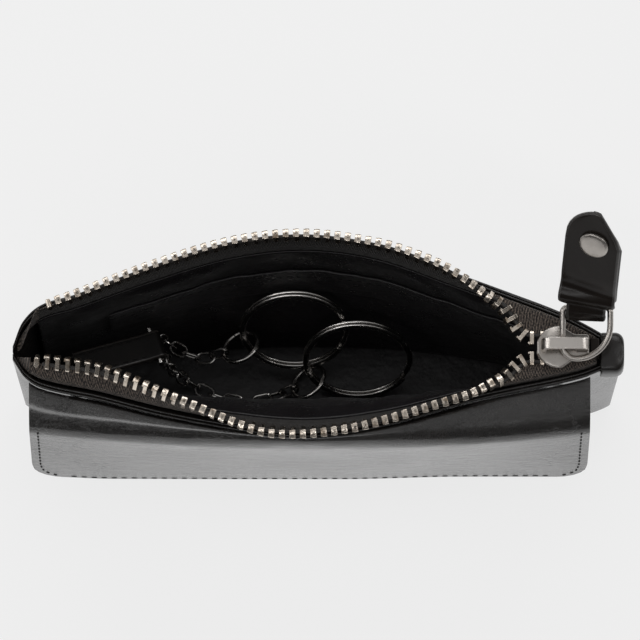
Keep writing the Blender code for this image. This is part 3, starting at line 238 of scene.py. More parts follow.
# Details that only the looks have
EDGE_BEAD = 0.00035
FOOT_ROUND = 0.0003
WALL_DENT = 0.00030
WALL_DENT_SPAN = 0.016
WALL_CALM = 0.008
RIPPLE_LOW = 0.00025
RIPPLE_HIGH = 0.0011
RIPPLE_START = 0.036
RIPPLE_SPAN = 0.016
RIPPLE_FOOT_FADE = 0.006
RIPPLE_TOP_FADE = 0.004
HEM_EXTRA = 0.00025
HEM_DEPTH = 0.0042
HEM_STEP = 0.0006
HEM_STITCH_DROP = 0.0038
STITCH_PITCH = 0.0025
STITCH_LENGTH = 0.0018
STITCH_THREAD = 0.00019
STITCH_INSET = 0.0021
BOTTOM_STITCH_INSET = 0.0017
SIDE_STITCH = 0.0013
SIDE_THREAD = 0.00027
EDGE_STITCH_DROP = 0.0028
POCKET_EDGE = 0.0007
SIDE_STITCH_DROP = 0.001
STRAP_STITCH_INSET = 0.0011
STRAP_STITCH_PITCH = 0.0026
STRAP_STITCH = 0.0019
FLAP_DENT = 0.00012
FLAP_DENT_SPAN = 0.045
FLAP_BUMP = 0.00014
FLAP_BUMP_SPAN = 0.006
FLAP_BUMP_HEIGHT = 0.050
FLAP_SAG = 0.0006
FLAP_SAG_END = 0.036
FLAP_SAG_FADE = 0.030
FLAP_SAG_LEFT_FADE = 0.02
FLAP_RIM = (0.0010, 0.00065, 0.00042, 0.00022, 0.00008, 0.0)
FLAP_RIM_FACES = range(34, 42)
FLAP_KNEE = 0.55
FLAP_KNEE_HEIGHT = 0.0535
FLAP_SHELF_SLOPE = 0.12
FLAP_LOOK_CORNER = 0.0065
FLAP_SIDE_LEAN = 0.0012
FLAP_LEAN_REACH = 0.012
TAB_TWIST = math.radians(20)
TAB_TWIST_START = math.radians(7)
TAB_TWIST_REACH = 0.009
TAB_TWIST_ROOT = 0.0018
TAB_CREASE = 0.00118
CREASE_RIDGE = (0.0042, 0.0013)
CREASE_HOLLOW = (0.0078, 0.0020)
TAB_STEP = 0.0018
TAB_STEP_LENGTH = 0.0010
TAB_NECK_LOOK = 0.0097
TAB_LOOP_SLACK = 0.0018
BACK_LAYER_SHORT = 0.0024
RIVET_SHIFT = 0.0006
RIVET_LOOK_RADIUS = 0.0037
SADDLE_REACH = 0.0020
SADDLE_CORNER = 0.0022
SADDLE_EDGE = 0.0007
SADDLE_PULL = 0.0006
SADDLE_CORNER_DROP = 0.0004
SADDLE_SINK = 0.00025
SADDLE_DENT = 0.0005
SADDLE_DENT_SPAN = 0.0035
TOOTH_LEG = 0.0010
TOOTH_HEAD = 0.00045
TOOTH_HOOK = 0.0007
TOOTH_BEVEL = 0.00009
STOP_BEVEL = 0.00025
TOP_STOP_CORNER = 0.0005
BOTTOM_STOP_CORNER = 0.0004
TAPE_END_EDGE_DROP = 0.0009
TAPE_END_EDGE_FALL = 0.0012
TAPE_END_DROP = 0.0022
TAPE_END_BULGE = 0.0006
TAPE_FRAY = 0.0005
CROWN_CENTRE = 0.42
WAIST_SHARE = 0.34
BRIDGE_CROWN_ROUND = 0.0029
BRIDGE_BEVEL = 0.00028
RING_NEAR_CORNER = 0.0082
KEY_RING_LOOK_WIDTH = 0.0015
KEY_RING_LOOK_WIRE = 0.00092
D_RING_HEEL = 0.0005
THINNEST = 0.12
# Faces of the tape's section that take the darker weave: painted shade behind the teeth
TAPE_PAINTED_SHADE_FACES = range(20, 39)
CHEVRON = 0.0013
YARN = 0.00062

# Places worked out from the sizes
SEAM_DEPTH = LEATHER + GAP / 2
LINING_BOTTOM = LEATHER + 2 * GAP + LINING
LINING_TOP = EDGE_HEIGHT - LINING_DROP
TAPE_INSET = LEATHER + GAP + TAPE / 2
LINING_INSET = LEATHER + GAP + TAPE + GAP
INNER_FACE = LINING_INSET + LINING
SLIDER_LEFT = BODY_WIDTH / 2 - SLIDER_FROM_END
SLIDER_RIGHT = SLIDER_LEFT + SLIDER_LENGTH
CHAIN_RIGHT = SLIDER_LEFT + CHAIN_PAST_CROWN
CHAIN_SIDE_SHIFT = POST_WIDTH / 2 + GAP + TOOTH_LENGTH / 2
ZIP_HEIGHT = EDGE_HEIGHT + TAPE_MIN_RISE
PLATE_TOP = ZIP_HEIGHT + CHANNEL_HEIGHT / 2 + PLATE
PULL_PIVOT = Vector((SLIDER_LEFT + RING_FROM_CROWN, SLIDER_CENTRE_Y, PLATE_TOP + GAP + RING_WIRE / 2 + RING_LIFT))
FRONTWARD = Vector((0, -1, 0))
RIGHTWARD = Vector((1, 0, 0))


# Materials

class Nodes:
    """The nodes of a material or a world."""

    def __init__(self, tree):
        self.tree = tree

    def add(self, kind, inputs=None, **settings):
        """Add a node and return its outputs; each input is a value or another node's output."""
        made = self.tree.nodes.new("ShaderNode" + kind)
        for key, value in settings.items():
            setattr(made, key, value)
        for key, value in (inputs or {}).items():
            if isinstance(value, bpy.types.NodeSocket):
                self.tree.links.new(value, made.inputs[key])
            else:
                made.inputs[key].default_value = value
        return made.outputs

    def math(self, operation, first, second=0.0):
        """Return the output of one sum."""
        return self.add("Math", {0: first, 1: second}, operation=operation)["Value"]

    def ramp(self, value, low, high, start, end):
        """Return value mapped from low..high to start..end."""
        values = {"Value": value, "From Min": low, "From Max": high, "To Min": start, "To Max": end}
        return self.add("MapRange", values)["Result"]


class Finish(Nodes):
    """A material in the making, with plain values on its shader's sockets; each bump lies on the last."""

    def __init__(self, name, slot, **sockets):
        self.made = bpy.data.materials.new(name)
        self.made.use_nodes = True
        super().__init__(self.made.node_tree)
        self.shader = self.tree.nodes["Principled BSDF"]
        for key, value in sockets.items():
            self.shader.inputs[key.replace("_", " ").title().replace("Ior", "IOR")].default_value = value
        self.normal = {}

    def place(self, *scale):
        """Return a point's place on the object, stretched if scales are given."""
        place = self.add("TexCoord")["Object"]
        return self.add("Mapping", {"Vector": place, "Scale": scale})["Vector"] if scale else place

    def noise(self, scale, detail=4.0, rough=0.55, stretch=()):
        """Return a noise with this many features a metre."""
        values = {"Vector": self.place(*stretch), "Scale": scale, "Detail": detail, "Roughness": rough}
        return self.add("TexNoise", values)["Fac"]

    def wave(self, value, length):
        """Return a sine of this wavelength."""
        return self.math("SINE", self.math("MULTIPLY", value, 2 * math.pi / length))

    def link(self, value, socket):
        """Lead a value into one of the shader's sockets."""
        self.tree.links.new(value, self.shader.inputs[socket])

    def colour(self, share, first, second):
        """Colour the surface between two colours."""
        values = {0: share, 6: (*first, 1.0), 7: (*second, 1.0)}
        self.link(self.add("Mix", values, data_type="RGBA")[2], "Base Color")

    def rough(self, first, second):
        """Make the roughness the sum of two values."""
        self.link(self.math("ADD", first, second), "Roughness")

    def bump(self, height, distance, strength=1.0):
        """Raise the surface by a height in metres."""
        values = {"Height": height, "Distance": distance, "Strength": strength, **self.normal}
        self.normal = {"Normal": self.add("Bump", values)["Normal"]}

    def done(self):
        """Return the finished material."""
        self.link(self.normal["Normal"], "Normal")
        return self.made


def leather(name, colour, worn, rough, grain, grain_size, pores=0.3, coat=0.3, ior=1.5, coat_rough=None,
            streak=0.0, crease=None, slot="leather"):
    """Return a leather: pebbled grain, pores, soft creases, and a gloss that varies."""
    made = Finish(name, slot, ior=ior, coat_weight=coat, coat_roughness=coat_rough or rough * 0.8)
    fine = made.noise(2.2 / grain_size, 6.0)
    made.colour(made.ramp(made.noise(160, 5.0), 0.5, 0.8, 0.0, 1.0), colour, worn)
    made.rough(made.ramp(made.noise(55, 3.0), 0.3, 0.7, rough - 0.05, rough + 0.06),
               made.ramp(fine, 0.3, 0.7, -0.03, 0.04))
    cells = {"Vector": made.place(), "Scale": 1 / grain_size}
    made.bump(made.add("TexVoronoi", cells, feature="SMOOTH_F1")["Distance"], grain, pores)
    made.bump(fine, grain * 0.8, 0.5)
    made.bump(made.noise(420, 3.0), grain * 1.6, 0.5)
    folds = made.math("ABSOLUTE", made.math("SUBTRACT", made.noise(95, 4.0, 0.6), 0.5))
    where = made.ramp(made.noise(28, 1.0), 0.50, 0.60, 0.0, 1.0)
    folds = made.math("MULTIPLY", made.ramp(folds, 0.0, 0.018, -1.0, 0.0), where)
    made.bump(folds, crease or grain * 2, 0.6)
    if streak:
        made.bump(made.noise(620, 5.0, 0.72, (0.3, 1.0, 0.8)), streak)
    return made.done()


def satin():
    """Return the lining's satin: a fine close weave with a soft sheen and small puckers."""
    made = Finish("satin_lining", "satin_lining", sheen_weight=0.04, sheen_roughness=0.35, ior=1.36)
    split = made.add("SeparateXYZ", {"Vector": made.place()})
    broad = made.noise(90)
    made.colour(broad, (0.0066, 0.0055, 0.0058), (0.0135, 0.0122, 0.0138))
    made.link(made.ramp(broad, 0.3, 0.7, 0.24, 0.36), "Roughness")
    made.bump(made.math("MULTIPLY", made.wave(split["X"], 0.00028), made.wave(split["Z"], 0.00022)), 0.000015, 0.5)
    made.bump(made.noise(260, 3.0), 0.00045, 0.6)
    return made.done()


def herringbone(name, light):
    """Return the zip tape's woven chevrons, drawn from the tape's own length and width."""
    made = Finish(name, "zip_tape", sheen_weight=0.1, sheen_roughness=0.5, ior=1.45, roughness=0.8)
    split = made.add("SeparateXYZ", {"Vector": made.add("UVMap", uv_map="cloth")["UV"]})
    zigzag = made.math("ADD", split["X"], made.math("PINGPONG", split["Y"], CHEVRON))
    dots = made.math("MULTIPLY", made.wave(split["Y"], YARN * 1.1), made.wave(split["X"], YARN * 1.3))
    threads = made.math("ADD", made.math("MULTIPLY", made.wave(zigzag, YARN), 0.65),
                        made.math("MULTIPLY", dots, 0.75))
    fuzz = made.noise(2100, 3.0)
    share = made.math("ADD", made.ramp(threads, -0.7, 1.4, 0.0, 0.75), made.ramp(fuzz, 0.35, 0.65, -0.32, 0.32))
    made.colour(made.ramp(share, 0.0, 1.0, 0.0, 1.0), (0.006, 0.005, 0.0045), light)
    made.bump(threads, 0.00012, 0.8)
    made.bump(fuzz, 0.00008, 0.6)
    return made.done()


def thread():
    """Return a black twisted sewing thread."""
    made = Finish("thread", "leather", roughness=0.8, ior=1.2)
    fuzz = made.noise(4200, 2.0)
    made.colour(fuzz, (0.004, 0.004, 0.004), (0.016, 0.015, 0.015))
    made.bump(fuzz, 0.00006, 0.7)
    return made.done()


def metal(name, slot, clean, dull, rough, tarnish, scratch=0.00001):
    """Return a metal with patches of tarnish, fine scratches and a gloss that varies."""
    made = Finish(name, slot, metallic=1.0)
    patches = made.noise(420, 5.0)
    lines = made.noise(900, 6.0, 0.7, (1.0, 6.0, 6.0))
    made.colour(made.ramp(patches, 0.62 - tarnish * 0.3, 0.78 - tarnish * 0.2, 0.0, 1.0), clean, dull)
    made.rough(made.ramp(patches, 0.3, 0.75, rough - 0.04, rough + 0.12), made.ramp(lines, 0.3, 0.7, -0.04, 0.05))
    made.bump(lines, scratch, 0.4)
    return made.done()


SMOOTH_LEATHER = leather("smooth_leather", (0.0078, 0.0062, 0.0055), (0.017, 0.014, 0.012), 0.25, 0.000018, 0.00055,
                         streak=0.00018)
FLAP_SKIN = leather("flap_leather", (0.0080, 0.0064, 0.0057), (0.018, 0.015, 0.013), 0.26, 0.000030, 0.00042,
                    0.6, 0.85, 1.5, 0.13, 0.00032, 0.00045)
TAB_SKIN = leather("tab_leather", (0.0125, 0.0095, 0.0078), (0.020, 0.016, 0.013), 0.42, 0.000018, 0.0005,
                   0.3, 0.34, 1.1, 0.22)
STRAP_SKIN = leather("strap_leather", (0.0040, 0.0033, 0.0030), (0.009, 0.007, 0.006), 0.5, 0.00003, 0.0005,
                     0.4, 0.0, 1.25)
END_SKIN = leather("end_leather", (0.0085, 0.0066, 0.0058), (0.018, 0.015, 0.013), 0.34, 0.00003, 0.0005,
                   0.5, 0.22, 1.42)
CUT_EDGE = leather("cut_edge", (0.020, 0.017, 0.015), (0.040, 0.034, 0.030), 0.45, 0.00004, 0.0003)
CORD = leather("tape_cord", (0.020, 0.018, 0.017), (0.07, 0.062, 0.055), 0.7, 0.00006, 0.0003, 0.8, slot="zip_tape")
SATIN = satin()
HERRINGBONE = herringbone("zip_tape", (0.21, 0.165, 0.135))
# A darker copy of the tape's weave: painted shade on the tape's inner faces behind the teeth
TAPE_PAINTED_SHADE = herringbone("zip_tape_inside", (0.040, 0.032, 0.027))
THREAD = thread()
TOOTH_METAL = metal("tooth_metal", "zip_metal", (0.76, 0.68, 0.59), (0.30, 0.235, 0.175), 0.24, 0.45, 0.00002)
STOP_METAL = metal("stop_metal", "zip_metal", (0.035, 0.030, 0.027), (0.012, 0.010, 0.009), 0.45, 0.4, 0.00002)
NICKEL = metal("satin_nickel", "satin_nickel", (0.45, 0.42, 0.39), (0.35, 0.32, 0.29), 0.30, 0.1)
# A lighter copy of the satin nickel for the bridge alone: painted light, since the bridge is the slider's own metal
BRIDGE_NICKEL_PAINTED_LIGHT = metal("bridge_nickel_painted_light", "satin_nickel", (0.66, 0.62, 0.58), (0.50, 0.46, 0.42), 0.30, 0.1)
STEEL = metal("dark_steel", "dark_steel", (0.58, 0.56, 0.54), (0.32, 0.30, 0.28), 0.19, 0.2)


# Mesh building. A mesh is (points, faces, uvs, edge flags of the faces)

def distances(points):
    """Return the distance along a line of points at each of them."""
    out = [0.0]
    for low, high in zip(points, points[1:]):
        out.append(out[-1] + (high - low).length)
    return out


def heading(points, i):
    """Return the direction of a line of points at one of them."""
    return (points[min(i + 1, len(points) - 1)] - points[max(i - 1, 0)]).normalized()


def arc(x, y, radius, start, end, steps):
    """Return (x, y) places on an arc between two angles in degrees."""
    turns = [math.radians(start + (end - start) * i / steps) for i in range(steps + 1)]
    return [(x + radius * math.cos(a), y + radius * math.sin(a)) for a in turns]


def loft(loops, closed=False, along=None, around=None, edges=()):
    """Return a tube through loops of points; faces at the loop places in edges are flagged."""
    count = len(loops[0])
    middle = loops[len(loops) // 2]
    along = along or distances([loop[0] for loop in loops] + ([loops[0][0]] if closed else []))
    around = around or distances([*middle, middle[0]])
    faces, uvs, flags = [], [], []
    for i in range(len(loops) if closed else len(loops) - 1):
        low, high = i * count, (i + 1) % len(loops) * count
        for j in range(count):
            k = (j + 1) % count
            faces.append((low + j, low + k, high + k, high + j))
            uvs.append([(along[i + a], around[j + b]) for a, b in ((0, 0), (0, 1), (1, 1), (1, 0))])
            flags.append(j in edges)
    if not closed:
        for start, place, turn in ((0, along[0], -1), ((len(loops) - 1) * count, along[-1], 1)):
            order = range(count)[::turn]
            faces.append([start + j for j in order])
            uvs.append([(place, around[j]) for j in order])
            flags.append(bool(edges))
    return [point for loop in loops for point in loop], faces, uvs, flags


def merged(meshes):
    """Return one mesh made of several."""
    points, faces, uvs, flags = [], [], [], []
    for part in meshes:
        faces += [[i + len(points) for i in face] for face in part[1]]
        points += part[0]
        uvs += part[2]
        flags += part[3]
    return points, faces, uvs, flags


def moved(mesh, matrix):
    """Return a mesh moved by a matrix."""
    return [matrix @ point for point in mesh[0]], *mesh[1:]


def shift(x, y, z):
    """Return the matrix of a move."""
    return Matrix.Translation(Vector((x, y, z)))


def add_piece(name, mesh, finish, replaces="", body="pouch", edge_finish=None, sharp=35, bevel=None):
    """Make a piece that rides on a body, or on none, and hide the CAD nodes it stands for."""
    points, faces, uvs, flags = mesh
    data = bpy.data.meshes.new(name)
    data.from_pydata(points, [], faces)
    layer = data.uv_layers.new(name="cloth")
    layer.data.foreach_set("uv", [value for face in uvs for corner in face for value in corner])
    data.materials.append(finish)
    if edge_finish:
        data.materials.append(edge_finish)
        data.polygons.foreach_set("material_index", [int(flag) for flag in flags])
    bm = bmesh.new()
    bm.from_mesh(data)
    bmesh.ops.recalc_face_normals(bm, faces=bm.faces)
    bm.to_mesh(data)
    bm.free()
    data.shade_smooth()
    data.set_sharp_from_angle(angle=math.radians(sharp))
    made = bpy.data.objects.new(name, data)
    bpy.context.collection.objects.link(made)
    if bevel:
        rounding = made.modifiers.new("rounding", "BEVEL")
        rounding.width = bevel
        rounding.segments = 3
        rounding.limit_method = "ANGLE"
        rounding.angle_limit = math.radians(40)
        rounding.harden_normals = True
    if body:
        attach(made, body)
    if replaces:
        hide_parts(*replaces.split())
    return made


def prism(outline, height, start=(0, 0, 0)):
    """Return a flat outline of (x, y) points raised along +Z from a place."""
    return loft([[Vector(start) + Vector((x, y, z)) for x, y in outline] for z in (0, height)])


def turned(profile, steps=48):
    """Return a solid turned about Z from (radius, height) points that start and end on the axis."""
    return loft([[Vector((x, y, height)) for x, y in arc(0, 0, max(radius, 1e-5), 0, 360, steps)[:-1]]
                 for radius, height in profile])


def wire(points, radius, sides=10, closed=True, side=None):
    """Return round wire along a line of points."""
    count = len(points)
    loops = []
    for i, point in enumerate(points):
        after = points[(i + 1) % count] if closed or i < count - 1 else point
        before = points[i - 1] if closed or i else point
        along = (after - before).normalized()
        side = side or along.orthogonal()
        side = (side - along * side.dot(along)).normalized()
        out = along.cross(side)
        loops.append([point + x * out + y * side for x, y in arc(0, 0, radius, 0, 360, sides)[:-1]])
    return loft(loops, closed)


def placement(origin, x_axis, z_axis):
    """Return the matrix of a frame from its origin and two directions."""
    z_axis = z_axis.normalized()
    y_axis = z_axis.cross(x_axis).normalized()
    return axes(y_axis.cross(z_axis), y_axis, z_axis, origin)


def axes(x_axis, y_axis, z_axis, origin):
    """Return the matrix of a frame from its three directions and its origin."""
    matrix = Matrix((x_axis, y_axis, z_axis)).transposed().to_4x4()
    matrix.translation = origin
    return matrix


def spread(low, high, count):
    """Return count + 1 even steps from low to high."""
    return [low + (high - low) * i / count for i in range(count + 1)]


def spread_to_edges(low, high, count, reach):
    """Return steps from low to high with a few extra close to both ends, for a rounded edge."""
    close = [reach * share for share in (0.0, 0.1, 0.35, 0.7)]
    return [low + c for c in close] + spread(low + reach, high - reach, count) + [high - c for c in close[::-1]]


def fullness(value, values, reach):
    """Return the share of a sheet's thickness that is left at this distance from its edge."""
    near = min(max(min(value - values[0], values[-1] - value) / reach, 0), 1)
    return max(math.sqrt(1 - (1 - near) ** 2), THINNEST)


def soft_sheet(place, columns, rows, reach):
    """Return a sheet with rounded edges; place gives the outer and inner point of a column and row."""
    loops = []
    for a in columns:
        outer, inner = [], []
        for b in rows:
            face, back = place(a, b)
            middle = (face + back) / 2
            full = min(fullness(a, columns, reach), fullness(b, rows, reach))
            outer.append(middle + (face - middle) * full)
            inner.append(middle + (back - middle) * full)
        loops.append(outer + inner[::-1])
    return loft(loops, along=list(columns), around=[*rows, *rows[::-1], rows[0]])


def softened(points, times):
    """Return a line of points with its corners cut, its ends kept."""
    for _ in range(times):
        cut = [points[0]]
        for low, high in zip(points, points[1:]):
            cut += [low * 0.75 + high * 0.25, low * 0.25 + high * 0.75]
        points = cut + [points[-1]]
    return points


def thick_path(path, thickness, side):
    """Return the loop round a strip whose outer face follows path in the plane square to X."""
    lengths = distances(path)
    outer, inner = [], []
    for i, point in enumerate(path):
        along = heading(path, i)
        half = Vector((0, -along.z, along.y)) * side * thickness / 2
        full = fullness(lengths[i], lengths, thickness / 2)
        outer.append(point + half * (1 - full))
        inner.append(point + half * (1 + full))
    return outer + inner[::-1], [*lengths, *lengths[::-1], lengths[0]]


# The pouch's shape, as in the part's source

def hermite(low, high, leave, arrive, t):
    """Return the place at a share of the way between two points with these slopes."""
    return (low * (2 * t ** 3 - 3 * t ** 2 + 1) + leave * (t ** 3 - 2 * t ** 2 + t)
            + high * (3 * t ** 2 - 2 * t ** 3) + arrive * (t ** 3 - t ** 2))


def smooth_curve(knots, at):
    """Return the height at a place on a smooth curve through knots."""
    if not knots[0][0] < at < knots[-1][0]:
        return knots[0 if at <= knots[0][0] else -1][1]
    index = max(i for i in range(len(knots) - 1) if knots[i][0] <= at)
    slopes = []
    for i in (index, index + 1):
        low, high = knots[max(i - 1, 0)], knots[min(i + 1, len(knots) - 1)]
        slopes.append((high[1] - low[1]) / (high[0] - low[0]))
    (x0, y0), (x1, y1) = knots[index], knots[index + 1]
    span = x1 - x0
    return hermite(y0, y1, slopes[0] * span, slopes[1] * span, (at - x0) / span)


def ease(t):
    """Return a smooth step from 0 to 1."""
    t = min(max(t, 0.0), 1.0)
    return t * t * (3 - 2 * t)


def half_width(height):
    """Return half of the pouch's width at a height."""
    return (BASE_WIDTH + (BODY_WIDTH - BASE_WIDTH) * height / EDGE_HEIGHT) / 2


def wall_depth(u, height, side):
    """Return how far the outer leather face stands from the middle plane; side is -1 in front."""
    if side < 0:
        base, mouth = BASE_FRONT_DEPTH, MOUTH_FRONT_DEPTH * smooth_curve(FRONT_MOUTH, u)
        opened = max((height - FRONT_FLARE_START) / (EDGE_HEIGHT - FRONT_FLARE_START), 0) ** 2
    else:
        base, mouth = BASE_BACK_DEPTH, MOUTH_BACK_DEPTH * smooth_curve(BACK_MOUTH, u)
        opened = 1 - (1 - min(height / EDGE_HEIGHT, 1)) ** 2.2
    base = SEAM_DEPTH + (base - SEAM_DEPTH) * max(1 - abs(u) ** 2.4, 0) ** 0.75
    return max(base + (mouth - base) * opened, SEAM_DEPTH)


def wall_point(u, height, side, inset):
    """Return a point inset from the outer leather face."""
    return Vector((u * half_width(height), side * (wall_depth(u, height, side) - inset), height))


def wall_front(x, height):
    """Return the y just in front of the front wall."""
    return -wall_depth(x / half_width(height), height, -1) - GAP


def end_share(distance):
    """Return the share of the half width that lies a distance short of the pouch's end."""
    return 1 - distance / (BODY_WIDTH / 2)


def stations(low, high, count):
    """Return shares of the half width from low to high, closer together towards the pouch's ends."""
    return [math.sin(turn) for turn in spread(math.asin(low), math.asin(high), count)]


def dent(point, size, reach):
    """Return a soft uneven depth of up to size, with features about reach across."""
    return size * noise.noise(point / reach)


# Leather walls, base and lining

def wall_profile():
    """Return (height, inset) places round a wall: outer face, a top edge of two beads, inner face."""
    rows = spread(FOOT_ROUND, EDGE_HEIGHT - EDGE_BEAD, 30)
    top = []
    for bead in (0, 1):
        for i in range(bead, 9):
            lift = math.sqrt(max(1 - (i / 4 - 1) ** 2, 0))
            top.append((EDGE_HEIGHT - EDGE_BEAD + EDGE_BEAD * lift, (i / 8 + bead) / 2 * LEATHER))
    profile = [(0.0, FOOT_ROUND)] + [(z, 0.0) for z in rows] + top[1:-1]
    return profile + [(z, LEATHER) for z in rows[::-1]] + [(0.0, LEATHER - FOOT_ROUND)]


def add_wall(label, side):
    """Add one leather wall with its turned top edge."""
    loops = []
    for u in stations(-1, 1, 150):
        loop = []
        for height, inset in wall_profile():
            point = wall_point(u, height, side, inset)
            if inset == 0.0:
                calm = min(height, EDGE_HEIGHT - height, WALL_CALM) / WALL_CALM * min(1 - abs(u), 0.1) / 0.1
                point.y -= side * calm * (WALL_DENT + dent(point, WALL_DENT, WALL_DENT_SPAN))
            loop.append(point)
        loops.append(loop)
    add_piece(f"wall_{label}", loft(loops), SMOOTH_LEATHER, f"{label}_panel")


def ripple(x, height, side):
    """Return how far the lining bulges inward from its wall: puckers that grow towards the mouth."""
    grow = RIPPLE_LOW + (RIPPLE_HIGH - RIPPLE_LOW) * ease((height - RIPPLE_START) / RIPPLE_SPAN)
    edge = ease((height - LINING_BOTTOM) / RIPPLE_FOOT_FADE) * ease((LINING_TOP - height) / RIPPLE_TOP_FADE)
    waves = noise.noise(Vector((x * 95, side * 3.1, height * 30)))
    waves += 0.5 * noise.noise(Vector((x * 210 + height * 60, side * 7.7, height * 75)))
    return edge * grow * max(waves + 0.45, 0)


def add_lining(label, side):
    """Add one side of the satin lining."""
    def place(u, height):
        bulge = ripple(u * half_width(height), height, side)
        return [wall_point(u, height, side, inset + bulge) for inset in (LINING_INSET, INNER_FACE)]

    columns = stations(-end_share(LINING_LEFT_GAP), end_share(LINING_RIGHT_GAP), 150)
    mesh = soft_sheet(place, columns, spread_to_edges(LINING_BOTTOM, LINING_TOP, 44, LINING), LINING / 2)
    made = add_piece(f"satin_{label}", mesh, SATIN, f"lining_{label}")


def add_slip_pocket():
    """Add the slip pocket on the back lining, with its folded and stitched hem."""
    def place(u, height):
        bulge = ripple(u * half_width(height), height, 1)
        hem = SLIP_POCKET_SATIN + HEM_EXTRA * ease((height - SLIP_POCKET_TOP + HEM_DEPTH) / HEM_STEP)
        return [wall_point(u, height, 1, INNER_FACE + GAP + layer + bulge) for layer in (0, hem)]

    share = end_share(SLIP_POCKET_FROM_END)
    columns = stations(-share, share, 120)
    rows = spread_to_edges(SLIP_POCKET_BOTTOM, SLIP_POCKET_TOP, 30, SLIP_POCKET_SATIN)
    mesh = soft_sheet(place, columns, rows, SLIP_POCKET_SATIN / 2)
    made = add_piece("satin_slip_pocket", mesh, SATIN, "slip_pocket")
    add_stitches("hem_stitches", [place(u, SLIP_POCKET_TOP - HEM_STITCH_DROP)[1] for u in columns], FRONTWARD)


def add_floor(name, bottom, thickness, inset, finish, node):
    """Add a flat sheet between the two walls at their foot; return it and its area."""
    def place(u, across):
        point = wall_point(u, 0, -1, inset).lerp(wall_point(u, 0, 1, inset), across)
        return [point + Vector((0, 0, z)) for z in (bottom + thickness, bottom)]

    share = end_share(FLOOR_END_GAP)
    columns = stations(-share, share, 90)
    made = add_piece(name, soft_sheet(place, columns, spread(0, 1, 12), 0.02), finish, node)
    ends = [(place(u, 0)[0], place(u, 1)[0]) for u in columns]
    area = sum((b[0].x - a[0].x) * (a[1].y - a[0].y + b[1].y - b[0].y) / 2 for a, b in zip(ends, ends[1:]))
    return made, area


def add_stitches(name, line, normal, body="pouch", pitch=STITCH_PITCH, length=STITCH_LENGTH, thick=STITCH_THREAD):
    """Add a row of stitches along a line of points on a surface with this normal."""
    lengths = distances(line)
    count = int((lengths[-1] - length) / pitch)
    meshes = []
    for i in range(count + 1):
        loops = []
        for step in range(7):
            at = (lengths[-1] - count * pitch - length) / 2 + i * pitch + length * step / 6
            k = max(k for k in range(len(lengths) - 1) if lengths[k] <= at or k == 0)
            point = line[k].lerp(line[k + 1], (at - lengths[k]) / max(lengths[k + 1] - lengths[k], 1e-9))
            lift = thick * (-0.25 - 1.2 * (2 * step / 6 - 1) ** 4)
            side = (line[k + 1] - line[k]).cross(normal).normalized()
            slim = thick * (1.0 if 0 < step < 6 else 0.6)
            loops.append([point + normal * (lift + y) + side * x for x, y in arc(0, 0, slim, 0, 360, 8)[:-1]])
        meshes.append(loft(loops))
    add_piece(name, merged(meshes), THREAD, body=body)


def add_body():
    """Add the walls, base, lining and slip pocket."""
    for label, side in (("back", 1), ("front", -1)):
        add_wall(label, side)
        add_lining(label, side)
    line = [wall_point(u, EDGE_HEIGHT - EDGE_STITCH_DROP, 1, WALL_DENT * 1.2) for u in stations(-0.985, 0.91, 90)]
    add_stitches("edge_stitches", line, -FRONTWARD)
    add_floor("base_leather", 0, LEATHER, LEATHER + GAP, SMOOTH_LEATHER, "bottom_panel")
    lining, area = add_floor("satin_floor", LEATHER + GAP, LINING, LEATHER / 2, SATIN, "lining_floor")
    add_slip_pocket()


# The zip

def chain_depth(x, side):
    """Return the y of a tooth row's middle line."""
    u = x / (BODY_WIDTH / 2)
    knots, mouth = (FRONT_CHAIN, MOUTH_FRONT_DEPTH) if side < 0 else (BACK_CHAIN, MOUTH_BACK_DEPTH)
    open_y = side * mouth * smooth_curve(knots, u)
    tail = ease((x - CHAIN_RIGHT) / CHAIN_CLOSING)
    held_y = SLIDER_CENTRE_Y + side * (CHAIN_SIDE_SHIFT + (TAIL_SHIFT - CHAIN_SIDE_SHIFT) * tail)
    return open_y + (held_y - open_y) * ease((u - CHAIN_CONVERGE) / CONVERGE_SPAN + 1)


def tape_path(x, side):
    """Return the tape's section at x: tuck, leather edge, lift, tooth row, and the way out."""
    u = x / (BODY_WIDTH / 2)
    start, at_edge = [Vector((x, side * (wall_depth(u, height, side) - TAPE_INSET), height))
                      for height in (EDGE_HEIGHT - TAPE_TUCK, EDGE_HEIGHT - GAP)]
    stand = (0.45 + 0.55 * ease((u + 1) / 0.5)) * ease((0.68 - u) / 0.30)
    rise = TAPE_MIN_RISE + (TAPE_REACH - TAPE_MIN_RISE) * stand
    chain = Vector((x, chain_depth(x, side), EDGE_HEIGHT + rise))
    lean = min(abs(chain.y - at_edge.y) / TAPE_LEAN_REACH, 1)
    lift = at_edge + Vector((0, 0, TAPE_MIN_RISE * lean + GAP))
    return start, at_edge, lift, chain, (chain - lift).normalized()


def chain_frames(side, left, right):
    """Return (distance, point, along, out) frames at even steps of a tooth row."""
    paths = [tape_path(x, side) for x in spread(left, right, 240)]
    points = [path[3] for path in paths]
    frames = []
    for i, (length, point, path) in enumerate(zip(distances(points), points, paths)):
        along = heading(points, i)
        frames.append((length, point, along, (path[4] - along * path[4].dot(along)).normalized()))
    return frames


def frame_at(frames, distance):
    """Return the frame nearest a distance, moved to that distance."""
    near = min(frames, key=lambda f: abs(f[0] - distance))
    return near[1] + near[2] * (distance - near[0]), near[2], near[3]


def frame_matrix(frames, distance):
    """Return the matrix of a place on a tooth row: X along it, Y out of the tape, Z up."""
    point, along, out = frame_at(frames, distance)
    return axes(along, out, along.cross(out), point)


